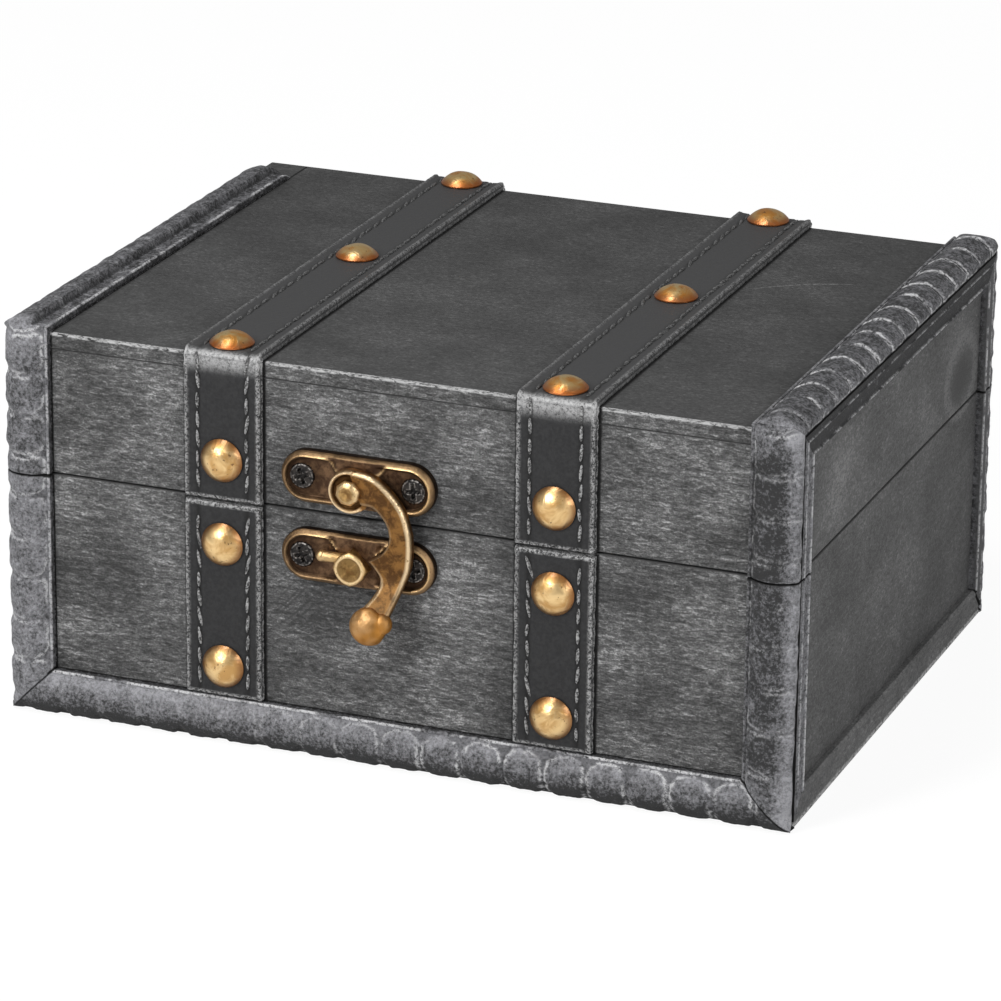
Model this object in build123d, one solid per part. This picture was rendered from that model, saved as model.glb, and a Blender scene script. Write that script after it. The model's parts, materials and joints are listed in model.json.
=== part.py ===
from build123d import *
import math
import os

# A small wooden treasure chest: a boarded base and a hinged lid, corner mouldings
# embossed with a row of pillows, leather straps with domed studs, and a swing latch.
# Millimetres, +Z up, the front faces -Y. The case is centred on X.

# Case and boards
case_width = 177.0
case_depth = 138.0
base_height = 55.3
parting_gap = 0.4
lid_height = 31.6
wall_thickness = 5.0
floor_thickness = 3.0
lid_board_thickness = 3.6
board_edge_radius = 0.6

# Corner mouldings: a faced band with a raised row of pillows, and a thin leg round the corner.
# The crown of pillows is a round that wraps a little way over the corner onto the leg.
moulding_width = 10.5
leg_thickness = 1.1
leg_width = 6.4
bead_width = 2.4
bead_height = 0.4
lip_width = 1.0
lip_height = 1.6
crown_height = 3.3
crown_radius = 6.5
crown_wrap = 0.8
groove_depth = 0.7
groove_width = 2.2
pillow_pitch = 9.4
knee_radius = 5.0
pillow_core_share = 0.5

# Lid hinge
lid_open_angle = 110.0
hinge_offset = 2.2
bevel_clearance = 0.3
bevel_extra_angle = 1.0
leaf_width_share = 0.62
leaf_height = 12.0
leaf_thickness = 1.0
knuckle_radius = 1.9
knuckle_gap = 0.25
middle_knuckle_share = 0.36
hinge_pin_radius = 0.8
pin_clearance = 0.05
pin_stickout = 0.3
leaf_screw_spacing_share = 0.56
leaf_screw_height_share = 0.6

# Straps
strap_width = 17.5
strap_thickness = 1.6
strap_bend_radius = 2.0
latch_strap_gap = 4.95
right_strap_place = 36.9
lid_strap_overhang = 0.1
base_strap_drop = 0.6
strap_moulding_gap = 0.3

# Studs
stud_radius = 4.8
stud_height = 2.8
stud_rim = 0.4
stud_shank_width = 1.4
stud_shank_depth = 3.4
stud_hole_clearance = 0.1
lid_stud_above_parting = 9.1
base_stud_below_parting = 9.8
low_stud_above_floor = 17.8
top_stud_inset = 4.0
middle_stud_place = 2.6

# Screws of the hinges and the latch
hinge_screw_head_radius = 2.0
hinge_screw_shank_radius = 1.0
hinge_screw_head_depth = 0.8
hinge_screw_length = 4.2
latch_screw_head_radius = 2.75
latch_screw_shank_radius = 1.2
latch_screw_head_depth = 1.3
latch_screw_length = 5.4
screw_clearance = 0.1

# Swing latch: two cast plates, a hook on a rivet, a catch post
plate_length = 35.0
plate_height = 11.6
plate_thickness = 2.6
plate_bevel = 0.7
plate_rim = 1.1
pocket_depth = 0.8
plate_land = 9.6
latch_place = -7.2
latch_plate_above_parting = 8.3
catch_plate_below_parting = 9.3
latch_screw_spacing = 25.4
pivot_drop = 1.0
pivot_side = 0.6
washer_radius = 3.4
washer_height = 0.3
eye_radius = 4.8
hook_clearance = 0.1
hook_thickness = 2.2
hook_drop = 27.9
rivet_radius = 1.5
rivet_clearance = 0.05
rivet_head_radius = 2.75
rivet_head_height = 1.6
rivet_point_share = 0.35
post_radius = 3.6
post_corner = 4.3
post_height = 2.6
post_shank_radius = 1.5
post_side = 0.6
post_drop = 0.8
cross_pin_radius = 1.1
cross_pin_reach = 8.1
cross_pin_rise = 1.8
knob_radius = 4.2
knob_half_thickness = 3.0
knob_rim = 0.8
knob_clearance = 0.4
knob_ear_radius = 2.1
knob_ear_place_share = 0.85

overrun = 1.0

# Derived places
half_width = case_width / 2
half_depth = case_depth / 2
parting = base_height + parting_gap / 2
lid_bottom = base_height + parting_gap
lid_top = lid_bottom + lid_height
band_width = moulding_width - leg_thickness
plate_face = plate_thickness + washer_height
hook_back = plate_face + hook_clearance
hook_front = hook_back + hook_thickness
post_front = plate_thickness + post_height
knob_stand = post_front + knob_clearance + knob_half_thickness
front_reach = half_depth + knob_stand + knob_half_thickness
back_reach = half_depth + hinge_offset + knuckle_radius
centre_shift = (front_reach - back_reach) / 2
far = 2 * case_width

# The crown of the moulding is a barrel row about an axis below the band
crown_inner = band_width - lip_width
crown_axis_v = crown_height - crown_radius
crown_axis_u = crown_inner - math.sqrt(crown_radius ** 2 - (lip_height - crown_axis_v) ** 2)
crown_outer = crown_axis_u - crown_radius

# Each hinge is in the middle of the space between a strap and a corner moulding
left_strap_place = plate_length / 2 - latch_place + latch_strap_gap + strap_width / 2
hinge_space_start = left_strap_place + strap_width / 2
hinge_space_end = half_width - band_width
hinge_place = (hinge_space_start + hinge_space_end) / 2
leaf_width = (hinge_space_end - hinge_space_start) * leaf_width_share


# Helpers

def trim(shape, point, normal):
    """Takes off everything on the side of a plane that its normal points to."""
    cutter = Box(far, far, far, align=(Align.CENTER, Align.CENTER, Align.MIN))
    return shape - Plane(origin=point, z_dir=normal).location * cutter


def board(x_low, x_high, y_low, y_high, z_low, z_high):
    """A board between two corners."""
    sizes = (x_high - x_low, y_high - y_low, z_high - z_low)
    return Pos(x_low, y_low, z_low) * Box(*sizes, align=(Align.MIN, Align.MIN, Align.MIN))


def turned(edges):
    """Turns an outline drawn as (radius, height) about Z."""
    return revolve(Plane.XZ * make_face(edges), Axis.Z)


def facing(x, y, z, direction):
    """The place of a piece whose own +Z is turned to a direction."""
    return Plane(origin=(x, y, z), z_dir=direction).location


FRONT = (0, -1, 0)
BACK = (0, 1, 0)
UP = (0, 0, 1)


# Mouldings. In a moulding's own frame u runs in from the case corner along the faced side,
# v is the outward normal of that side, and w runs along the edge.

def bar_section(with_leg):
    """The plain bar that carries the pillows: lip and band, and the leg with its bead."""
    if not with_leg:
        return make_face(Polyline(
            (-leg_thickness, 0), (-leg_thickness, lip_height),
            (band_width, lip_height), (band_width, 0), close=True))
    bead_start = (-leg_thickness, -leg_width)
    bead_end = (-leg_thickness, bead_width - leg_width)
    bead_middle = (-leg_thickness - bead_height, bead_width / 2 - leg_width)
    outline = Polyline(
        bead_end, (-leg_thickness, lip_height), (band_width, lip_height),
        (band_width, 0), (0, 0), (0, -leg_width), bead_start)
    return make_face(outline + ThreePointArc(bead_start, bead_middle, bead_end))


def pillow_row(length, with_leg):
    """A row of rounded pillows between V grooves, one more past each end."""
    count = max(1, round(length / pillow_pitch))
    pitch = length / count
    low_radius = crown_radius - groove_depth
    core_radius = -crown_axis_v * pillow_core_share
    outline = [(core_radius, (count + 1) * pitch), (core_radius, -pitch), (low_radius, -pitch)]
    for step in range(-1, count + 1):
        outline += [
            (crown_radius, step * pitch + groove_width / 2),
            (crown_radius, (step + 1) * pitch - groove_width / 2),
            (low_radius, (step + 1) * pitch)]
    edges = Polyline(*outline, close=True)
    low = -crown_height - leg_thickness
    high = length + crown_height + leg_thickness
    if with_leg:
        window = board(crown_outer, crown_inner, 0, crown_height + overrun, low, high)
        window = window + board(crown_outer, 0, -crown_wrap, 0, low, high)
    else:
        window = board(-leg_thickness, crown_inner, 0, crown_height + overrun, low, high)
    return (Pos(crown_axis_u, crown_axis_v, 0) * turned(edges)) & window


def moulding(length, with_leg=True, below=0.0, above=0.0):
    """A moulding along w from 0 to its length, with its bar longer by below and above."""
    bar = extrude(bar_section(with_leg), length + below + above)
    crown = pillow_row(length, with_leg)
    crown = trim(crown, (0, 0, -below), (0, 0, -1))
    crown = trim(crown, (0, 0, length + above), (0, 0, 1))
    return Pos(0, 0, -below) * bar + crown


def bevelled(piece, axis_w, side):
    """Bevels the crown beyond the hinge line, so that the lid can lean back."""
    angle = math.radians(lid_open_angle / 2 + bevel_extra_angle)
    point = (0, hinge_offset - bevel_clearance, axis_w)
    return trim(piece, point, (0, math.sin(angle), side * math.cos(angle)))


def knee_envelope():
    """The chest's side outline, rounded at the knees of the mouldings."""
    top = lid_top + crown_height
    outer = half_depth + crown_height
    side = board(-far, far, -outer, outer, 0, top)
    return fillet(side.edges().filter_by(Axis.X).group_by(Axis.Z)[-1], knee_radius)


def upright_place(z):
    """The place of the moulding on the right front edge, which runs up."""
    return Plane(origin=(half_width, -half_depth, z), x_dir=(-1, 0, 0), z_dir=UP).location


def base_upright(at_back):
    """The moulding on an upright edge of the base, mitred to the bottom mouldings."""
    length = base_height - leg_thickness
    bar = moulding(length, below=leg_thickness)
    bar = trim(bar, (0, 0, 0), (1, 0, -1))
    wedge = extrude(Plane.YZ * make_face(Polyline(
        (0, -leg_thickness - overrun), (0, 0), (-leg_width, leg_width),
        (-leg_width - overrun, leg_width), (-leg_width - overrun, -leg_thickness - overrun),
        close=True)), crown_outer - overrun)
    bar = bar - wedge
    if at_back:
        bar = bevelled(bar, parting - leg_thickness, 1)
    return upright_place(leg_thickness) * bar


def lid_upright(at_back):
    """The moulding on an upright edge of the lid, mitred to the one along the top."""
    bar = moulding(lid_height, above=crown_height)
    bar = trim(bar, (0, 0, lid_height), (0, -1, 1))
    if at_back:
        bar = bevelled(bar, parting - lid_bottom, -1)
    return (upright_place(lid_bottom) * bar) & knee_envelope()


def lid_top_moulding():
    """The moulding along the right edge of the lid's top, front to back."""
    bar = moulding(case_depth, below=crown_height, above=crown_height)
    bar = trim(bar, (0, 0, 0), (0, -1, -1))
    bar = trim(bar, (0, 0, case_depth), (0, -1, 1))
    place = Plane(origin=(half_width, -half_depth, lid_top), x_dir=(-1, 0, 0), z_dir=BACK)
    return (place.location * bar) & knee_envelope()


def bottom_moulding():
    """The moulding along the bottom of the front, mitred at both corners."""
    bar = moulding(case_width, with_leg=False, below=leg_thickness, above=leg_thickness)
    bar = trim(bar, (0, 0, 0), (1, 0, -1))
    bar = trim(bar, (0, 0, case_width), (1, 0, 1))
    place = Plane(origin=(-half_width, -half_depth, leg_thickness), x_dir=UP, z_dir=(1, 0, 0))
    return place.location * bar


def end_bottom_strip():
    """The thin beaded strip along the bottom of the right end, between the uprights' legs."""
    top = leg_width + leg_thickness
    outer = half_width + leg_thickness
    bead_start = (outer, top - bead_width)
    bead_middle = (outer + bead_height, top - bead_width / 2)
    outline = Polyline((outer, top), (half_width, top), (half_width, 0), (outer, 0), bead_start)
    face = make_face(outline + ThreePointArc(bead_start, bead_middle, (outer, top)))
    strip = Pos(0, half_depth, 0) * extrude(Plane.XZ * face, case_depth)
    strip = trim(strip, (0, -half_depth, leg_thickness), (0, -1, 1))
    return trim(strip, (0, half_depth, leg_thickness), (0, 1, 1))


# Straps, studs and screws

def strap_piece(place, z_low, z_high):
    """A flat length of strap on the front."""
    return board(
        place - strap_width / 2, place + strap_width / 2,
        -half_depth - strap_thickness, -half_depth, z_low, z_high)


def lid_strap(place):
    """The strap over the lid, down its front and its back, in one length."""
    low = lid_bottom - lid_strap_overhang
    outer = board(
        place - strap_width / 2, place + strap_width / 2,
        -half_depth - strap_thickness, half_depth + strap_thickness,
        low, lid_top + strap_thickness)
    outer = fillet(outer.edges().filter_by(Axis.X).group_by(Axis.Z)[-1], strap_bend_radius)
    return outer - board(-far, far, -half_depth, half_depth, -far, lid_top)


def dome(rim_radius, rise):
    """The outline of a round dome from its top down to its rim, at z = 0."""
    radius = (rim_radius ** 2 + rise ** 2) / (2 * rise)
    half_arc = math.asin(rim_radius / radius) / 2
    middle = (radius * math.sin(half_arc), rise - radius * (1 - math.cos(half_arc)))
    return ThreePointArc((0, rise), middle, (rim_radius, 0))


def peg(width, low, high):
    """A square peg about Z."""
    return board(-width / 2, width / 2, -width / 2, width / 2, low, high)


def stud():
    """A domed nail head on its square shank, seated on the plane z = 0."""
    outline = Polyline((stud_radius, stud_rim), (stud_radius, 0), (0, 0), (0, stud_height))
    head = turned(outline + Pos(0, stud_rim) * dome(stud_radius, stud_height - stud_rim))
    return head + peg(stud_shank_width, -stud_shank_depth, 0)


def stud_hole():
    """The hole that a stud's shank fills in strap and board."""
    width = stud_shank_width + 2 * stud_hole_clearance
    return peg(width, -stud_shank_depth - stud_hole_clearance, overrun)


def screw(head, shank, head_depth, length):
    """A countersunk screw with its head flush at z = 0."""
    return turned(Polyline(
        (0, 0), (head, 0), (shank, -head_depth), (shank, -length), (0, -length), close=True))


def screw_hole(head, shank, head_depth, length):
    """The countersunk hole for a screw, open above z = 0."""
    grow = screw_clearance
    return turned(Polyline(
        (0, overrun), (head + grow, overrun), (head + grow, 0), (shank + grow, -head_depth),
        (shank + grow, -length - grow), (0, -length - grow), close=True))


hinge_screw_sizes = (
    hinge_screw_head_radius, hinge_screw_shank_radius, hinge_screw_head_depth, hinge_screw_length)
latch_screw_sizes = (
    latch_screw_head_radius, latch_screw_shank_radius, latch_screw_head_depth, latch_screw_length)


strap_places = (-left_strap_place, right_strap_place)
lid_stud_z = parting + lid_stud_above_parting
base_stud_z = (parting - base_stud_below_parting, low_stud_above_floor)
top_stud_y = (top_stud_inset - half_depth, middle_stud_place, half_depth - top_stud_inset)
stud_seat = half_depth + strap_thickness

lid_stud_places = []
base_stud_places = []
for x in strap_places:
    lid_stud_places.append(facing(x, -stud_seat, lid_stud_z, FRONT))
    lid_stud_places.append(facing(x, stud_seat, lid_stud_z, BACK))
    for y in top_stud_y:
        lid_stud_places.append(facing(x, y, lid_top + strap_thickness, UP))
    for z in base_stud_z:
        base_stud_places.append(facing(x, -stud_seat, z, FRONT))
        base_stud_places.append(facing(x, stud_seat, z, BACK))

screw_side = leaf_width * leaf_screw_spacing_share / 2
screw_lift = leaf_height * leaf_screw_height_share
leaf_face = half_depth + leaf_thickness
lid_leaf_screws = []
base_leaf_screws = []
for x in (-hinge_place, hinge_place):
    for side in (-screw_side, screw_side):
        lid_leaf_screws.append(facing(x + side, leaf_face, parting + screw_lift, BACK))
        base_leaf_screws.append(facing(x + side, leaf_face, parting - screw_lift, BACK))

latch_z = parting + latch_plate_above_parting
catch_z = parting - catch_plate_below_parting
pocket_floor = half_depth + plate_thickness - pocket_depth
latch_screw_x = (latch_place - latch_screw_spacing / 2, latch_place + latch_screw_spacing / 2)
latch_screws = [facing(x, -pocket_floor, latch_z, FRONT) for x in latch_screw_x]
catch_screws = [facing(x, -pocket_floor, catch_z, FRONT) for x in latch_screw_x]


hinge_holes = screw_hole(*hinge_screw_sizes)
latch_holes = screw_hole(*latch_screw_sizes)


def drilled(piece, tool, places):
    """Takes the same hole out of a piece at each place."""
    for place in places:
        piece = piece - place * tool
    return piece


def group(tool, places):
    """The same fastener at each place, as separate solids."""
    return Compound(children=[place * tool for place in places])


# Hinges

def leaf(side):
    """A leaf of the hinge at x = 0: side 1 is the lid's, with the middle knuckle."""
    middle = leaf_width * middle_knuckle_share
    plate = board(-leaf_width / 2, leaf_width / 2, half_depth, leaf_face, 0, leaf_height)
    barrel = Cylinder(knuckle_radius, leaf_width, rotation=(0, 90, 0))
    barrel = Pos(0, half_depth + hinge_offset, 0) * barrel
    body = plate + barrel
    room = knuckle_radius + knuckle_gap
    reach = hinge_offset + knuckle_radius + overrun
    if side > 0:
        half = middle / 2 - knuckle_gap / 2
        spans = ((-leaf_width, -half), (half, leaf_width))
    else:
        half = middle / 2 + knuckle_gap / 2
        spans = ((-half, half),)
    for low, high in spans:
        body = body - board(low, high, half_depth - overrun, half_depth + reach, -room, room)
    bore = Cylinder(hinge_pin_radius + pin_clearance, far, rotation=(0, 90, 0))
    body = body - Pos(0, half_depth + hinge_offset, 0) * bore
    return body if side > 0 else mirror(body, Plane.XY)


def hinge_pin():
    pin = Cylinder(hinge_pin_radius, leaf_width + 2 * pin_stickout, rotation=(0, 90, 0))
    return Pos(0, half_depth + hinge_offset, 0) * pin


# Latch

def cast_plate():
    """A long plate with round ends, a bevelled edge and a sunk pocket at each screw."""
    plate = extrude(SlotOverall(plate_length, plate_height), plate_thickness)
    plate = chamfer(plate.faces().sort_by(Axis.Z)[-1].edges(), plate_bevel)
    inset = plate_bevel + plate_rim
    pocket = SlotOverall(plate_length - 2 * inset, plate_height - 2 * inset)
    pocket = pocket - Rectangle(plate_land, plate_height)
    floor = plate_thickness - pocket_depth
    return plate - Pos(0, 0, floor) * extrude(pocket, pocket_depth + overrun)


def on_front(x, z, stand):
    """A place on the front with +X kept, at a stand-off from the boards."""
    plane = Plane(origin=(x, -half_depth - stand, z), x_dir=(1, 0, 0), z_dir=FRONT)
    return plane.location


pivot_x = latch_place - pivot_side
pivot_z = latch_z - pivot_drop
post_x = latch_place - post_side
post_z = catch_z - post_drop


def latch_plate():
    plate = on_front(latch_place, latch_z, 0) * cast_plate()
    washer = Cylinder(washer_radius, washer_height, align=(Align.CENTER, Align.CENTER, Align.MIN))
    plate = plate + on_front(pivot_x, pivot_z, plate_thickness) * washer
    bore = Cylinder(rivet_radius + rivet_clearance, far)
    plate = plate - on_front(pivot_x, pivot_z, 0) * bore
    return drilled(plate, latch_holes, latch_screws)


def catch_plate():
    plate = on_front(latch_place, catch_z, 0) * cast_plate()
    bore = Cylinder(post_shank_radius + rivet_clearance, far)
    plate = plate - on_front(post_x, post_z, 0) * bore
    return drilled(plate, latch_holes, catch_screws)


def catch_post():
    """The faceted post that the hook goes behind, its shank and the cross pin through it."""
    diamond = Rot(0, 0, 45) * Rectangle(post_corner * math.sqrt(2), post_corner * math.sqrt(2))
    post = loft([diamond, Pos(0, 0, post_height) * Circle(post_radius)])
    shank = Cylinder(post_shank_radius, plate_thickness,
                     align=(Align.CENTER, Align.CENTER, Align.MAX))
    post = on_front(post_x, post_z, plate_thickness) * (post + shank)
    pin = Cylinder(cross_pin_radius, cross_pin_reach, rotation=(0, 90, 0),
                   align=(Align.CENTER, Align.CENTER, Align.MAX))
    stand = plate_thickness + cross_pin_radius + rivet_clearance
    return post + Pos(post_x, -half_depth - stand, post_z + cross_pin_rise) * pin


def rivet():
    """The pivot rivet: a shank through plate and hook under a faceted, pointed head."""
    shank = Cylinder(rivet_radius, hook_front + hook_clearance,
                     align=(Align.CENTER, Align.CENTER, Align.MIN))
    head = loft([
        RegularPolygon(rivet_head_radius, 8),
        Pos(0, 0, rivet_head_height * (1 - rivet_point_share)) * RegularPolygon(
            rivet_head_radius, 8),
    ])
    point = loft([
        RegularPolygon(rivet_head_radius, 8),
        Pos(0, 0, rivet_head_height * rivet_point_share) * RegularPolygon(
            rivet_head_radius * (1 - rivet_point_share), 8),
    ])
    head = head + Pos(0, 0, rivet_head_height * (1 - rivet_point_share)) * point
    return on_front(pivot_x, pivot_z, 0) * (
        shank + Pos(0, 0, hook_front + hook_clearance) * head)


# The hook's outline, from the pivot, as shares of the drop from the pivot to the knob
outer_edge_shares = [
    (0.03, 0.170), (0.183, 0.133), (0.308, 0.039), (0.423, -0.100),
    (0.516, -0.455), (0.480, -0.642), (0.333, -0.921)]
inner_edge_shares = [(0.104, -0.100), (0.206, -0.118), (0.315, -0.262), (0.319, -0.362)]
beak_top_shares = [(0.319, -0.362), (0.276, -0.459), (0.183, -0.534)]
beak_low_shares = [(0.183, -0.534), (0.240, -0.591), (0.305, -0.655)]
neck_edge_shares = [(0.305, -0.655), (0.283, -0.731), (0.158, -0.921)]
knob_share = (0.215, -1.0)
bend_share = -0.59
knob_bend_share = -0.95


def hook_points(shares):
    return [(a * hook_drop, b * hook_drop) for a, b in shares]


def latch_hook():
    """The hook: an eye, a curved arm with a beak, bent outward to a flattened knob."""
    outer = Spline(*hook_points(outer_edge_shares))
    inner = Spline(*hook_points(inner_edge_shares))
    beak_top = ThreePointArc(*hook_points(beak_top_shares))
    beak_low = ThreePointArc(*hook_points(beak_low_shares))
    neck = ThreePointArc(*hook_points(neck_edge_shares))
    start = hook_points(inner_edge_shares)[0]
    close_top = Polyline(start, (0, 0), hook_points(outer_edge_shares)[0])
    close_low = Line(hook_points(outer_edge_shares)[-1], hook_points(neck_edge_shares)[-1])
    face = make_face(outer + inner + beak_top + beak_low + neck + close_top + close_low)
    deep = knob_stand + knob_half_thickness
    arm = on_front(pivot_x, pivot_z, 0) * extrude(face, deep)
    bend_z = pivot_z + bend_share * hook_drop
    knob_z = pivot_z + knob_bend_share * hook_drop
    knob_back = -half_depth - knob_stand + hook_thickness / 2
    back_y = -half_depth - hook_back
    side = Polyline(
        (back_y, pivot_z + hook_drop), (back_y, bend_z), (knob_back, knob_z),
        (knob_back, 0), (knob_back - hook_thickness, 0), (knob_back - hook_thickness, knob_z),
        (back_y - hook_thickness, bend_z), (back_y - hook_thickness, pivot_z + hook_drop),
        close=True)
    arm = arm & extrude(Plane.YZ * make_face(side), far, both=True)
    eye = Cylinder(eye_radius, hook_thickness, align=(Align.CENTER, Align.CENTER, Align.MIN))
    arm = arm + on_front(pivot_x, pivot_z, hook_back) * eye
    cap = Pos(0, knob_rim) * dome(knob_radius, knob_half_thickness - knob_rim)
    knob = turned(cap + mirror(cap, Plane.XZ) + Polyline(
        (knob_radius, knob_rim), (knob_radius, -knob_rim)) + Polyline(
        (0, -knob_half_thickness), (0, knob_half_thickness)))
    knob = knob + Pos(knob_radius * knob_ear_place_share, 0, 0) * Sphere(knob_ear_radius)
    knob_x = pivot_x + knob_share[0] * hook_drop
    knob_at = on_front(knob_x, pivot_z + knob_share[1] * hook_drop, knob_stand)
    bore = Cylinder(rivet_radius + rivet_clearance, far)
    return arm + knob_at * knob - on_front(pivot_x, pivot_z, 0) * bore


# Boards

inner_depth = half_depth - wall_thickness
lid_rail_top = lid_top - lid_board_thickness

nodes = {}


def mirrored_pair(name, piece):
    """A right-hand piece and its mirror image on the left."""
    nodes[name.format("right")] = piece
    nodes[name.format("left")] = mirror(piece, Plane.YZ)


front_low = board(-half_width, half_width, -half_depth, -inner_depth, floor_thickness, base_height)
back_low = mirror(front_low, Plane.XZ)
end_low = board(inner_depth + half_width - half_depth, half_width, -inner_depth, inner_depth,
                floor_thickness, base_height)
front_low = drilled(front_low, stud_hole(), base_stud_places)
front_low = drilled(front_low, latch_holes, catch_screws)
back_low = drilled(back_low, stud_hole(), base_stud_places)
nodes["base_front_board"] = front_low
nodes["base_back_board"] = drilled(back_low, hinge_holes, base_leaf_screws)
mirrored_pair("base_{}_end", end_low)
nodes["base_floor"] = board(
    -half_width, half_width, -half_depth, half_depth, 0, floor_thickness)

front_high = board(-half_width, half_width, -half_depth, -inner_depth, lid_bottom, lid_rail_top)
back_high = mirror(front_high, Plane.XZ)
end_high = board(inner_depth + half_width - half_depth, half_width, -inner_depth, inner_depth,
                 lid_bottom, lid_rail_top)
front_high = drilled(front_high, stud_hole(), lid_stud_places)
front_high = drilled(front_high, latch_holes, latch_screws)
back_high = drilled(back_high, stud_hole(), lid_stud_places)
nodes["lid_front_rail"] = front_high
nodes["lid_back_rail"] = drilled(back_high, hinge_holes, lid_leaf_screws)
mirrored_pair("lid_{}_end", end_high)
top_board = board(-half_width, half_width, -half_depth, half_depth, lid_rail_top, lid_top)
top_board = fillet(
    top_board.edges().filter_by(Axis.X).group_by(Axis.Z)[-1], board_edge_radius)
nodes["lid_top_board"] = drilled(top_board, stud_hole(), lid_stud_places)

# Mouldings in place
mirrored_pair("base_{}_front_moulding", base_upright(False))
mirrored_pair("base_{}_back_moulding", mirror(base_upright(True), Plane.XZ))
nodes["base_front_bottom_moulding"] = bottom_moulding()
nodes["base_back_bottom_moulding"] = mirror(bottom_moulding(), Plane.XZ)
mirrored_pair("base_{}_bottom_strip", end_bottom_strip())
mirrored_pair("lid_{}_front_moulding", lid_upright(False))
mirrored_pair("lid_{}_back_moulding", mirror(lid_upright(True), Plane.XZ))
mirrored_pair("lid_{}_top_moulding", lid_top_moulding())

# Straps and studs in place
base_strap_low = moulding_width + strap_moulding_gap
base_strap_high = base_height - base_strap_drop
for name, x in zip(("left", "right"), strap_places):
    flat_strap = strap_piece(x, base_strap_low, base_strap_high)
    nodes[f"base_{name}_front_strap"] = drilled(flat_strap, stud_hole(), base_stud_places)
    flat_strap = mirror(flat_strap, Plane.XZ)
    nodes[f"base_{name}_back_strap"] = drilled(flat_strap, stud_hole(), base_stud_places)
    nodes[f"lid_{name}_strap"] = drilled(lid_strap(x), stud_hole(), lid_stud_places)
nodes["base_studs"] = group(stud(), base_stud_places)
nodes["lid_studs"] = group(stud(), lid_stud_places)

# Hinges in place
for name, x in (("left", -hinge_place), ("right", hinge_place)):
    at_hinge = Pos(x, 0, parting)
    nodes[f"{name}_hinge_lid_leaf"] = drilled(at_hinge * leaf(1), hinge_holes, lid_leaf_screws)
    nodes[f"{name}_hinge_base_leaf"] = drilled(at_hinge * leaf(-1), hinge_holes, base_leaf_screws)
    nodes[f"{name}_hinge_pin"] = at_hinge * hinge_pin()
nodes["hinge_lid_screws"] = group(screw(*hinge_screw_sizes), lid_leaf_screws)
nodes["hinge_base_screws"] = group(screw(*hinge_screw_sizes), base_leaf_screws)

# Latch in place
nodes["latch_plate"] = latch_plate()
nodes["latch_screws"] = group(screw(*latch_screw_sizes), latch_screws)
nodes["latch_rivet"] = rivet()
nodes["catch_plate"] = catch_plate()
nodes["catch_post"] = catch_post()
nodes["catch_screws"] = group(screw(*latch_screw_sizes), catch_screws)
nodes["latch_hook"] = latch_hook()

# The part's origin is the middle of its outer box on the surface that it stands on
os.makedirs("parts", exist_ok=True)
for name, piece in nodes.items():
    placed = Pos(0, centre_shift, 0) * piece
    placed.label = name
    export_step(placed, f"parts/{name}.step")
print("nodes", len(nodes))
print("lid hinge line", round(half_depth + hinge_offset + centre_shift, 4), round(parting, 4))
print("hook pivot", round(pivot_x, 4), round(centre_shift - half_depth - hook_back, 4),
      round(pivot_z, 4))
print("case front", round(centre_shift - half_depth, 4))
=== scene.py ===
# %% [markdown]
# A small wooden treasure chest, dressed for a studio picture. The construction is a fixed frame
# of separate pieces: boards, mouldings, straps, studs, hinges and a swing latch. This lesson
# keeps every piece where the frame has it, models again the ones whose surface carries fine
# relief, and gives each piece a finish made of nodes.

# %% Load the frame
import json
import math

import bmesh
import bpy
from mathutils import Matrix, Vector, noise


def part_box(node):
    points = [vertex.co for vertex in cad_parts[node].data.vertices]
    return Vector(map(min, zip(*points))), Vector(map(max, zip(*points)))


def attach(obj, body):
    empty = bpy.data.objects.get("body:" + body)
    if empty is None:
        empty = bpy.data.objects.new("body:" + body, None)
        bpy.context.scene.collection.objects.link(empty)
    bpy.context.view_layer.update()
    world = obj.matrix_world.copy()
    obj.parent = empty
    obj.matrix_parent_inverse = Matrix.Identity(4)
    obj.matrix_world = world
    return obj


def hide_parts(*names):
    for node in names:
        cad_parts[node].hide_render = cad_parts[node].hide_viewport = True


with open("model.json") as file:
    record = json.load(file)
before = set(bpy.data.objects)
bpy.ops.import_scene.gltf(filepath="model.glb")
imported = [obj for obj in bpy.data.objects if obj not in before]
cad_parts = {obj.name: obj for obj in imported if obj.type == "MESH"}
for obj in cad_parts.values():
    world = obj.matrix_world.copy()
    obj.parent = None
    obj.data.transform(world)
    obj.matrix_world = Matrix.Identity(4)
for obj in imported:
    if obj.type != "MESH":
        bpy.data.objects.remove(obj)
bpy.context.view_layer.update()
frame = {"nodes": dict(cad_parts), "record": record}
MM = 0.001
print("pieces in the frame:", len(frame["nodes"]))

# %% [markdown]
# Everything that is modelled here is placed from the boards, so the corner points of the case
# are read from the frame once. Lengths in the frame are metres, and the functions below work in
# millimetres of the case's own axes, because those are the sizes that a maker would think in.

# %% Places of the case, in millimetres


def box_mm(node):
    """The low and high corners of a piece of the frame."""
    return [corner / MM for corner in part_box(node)]


def middle_of(node):
    """The middle of a piece of the frame."""
    return sum(box_mm(node), Vector()) / 2


front_low, front_high = box_mm("base_front_board")
CASE_SIDE, CASE_FRONT, BASE_TOP = front_high.x, front_low.y, front_high.z
CASE_BACK = box_mm("base_back_board")[1].y
LID_BOTTOM = box_mm("lid_front_rail")[0].z
LID_TOP = box_mm("lid_top_board")[1].z
PARTING = (BASE_TOP + LID_BOTTOM) / 2
CASE_DEPTH = CASE_BACK - CASE_FRONT
CASE_MIDDLE = (CASE_BACK + CASE_FRONT) / 2
MOULDING_FACE = 10.5
LEG = 1.1
INNER_EDGE = MOULDING_FACE - LEG
PANEL_SIDE = CASE_SIDE - INNER_EDGE
print("case", round(2 * CASE_SIDE, 2), "x", round(CASE_DEPTH, 2), "lid top", round(LID_TOP, 2))

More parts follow.
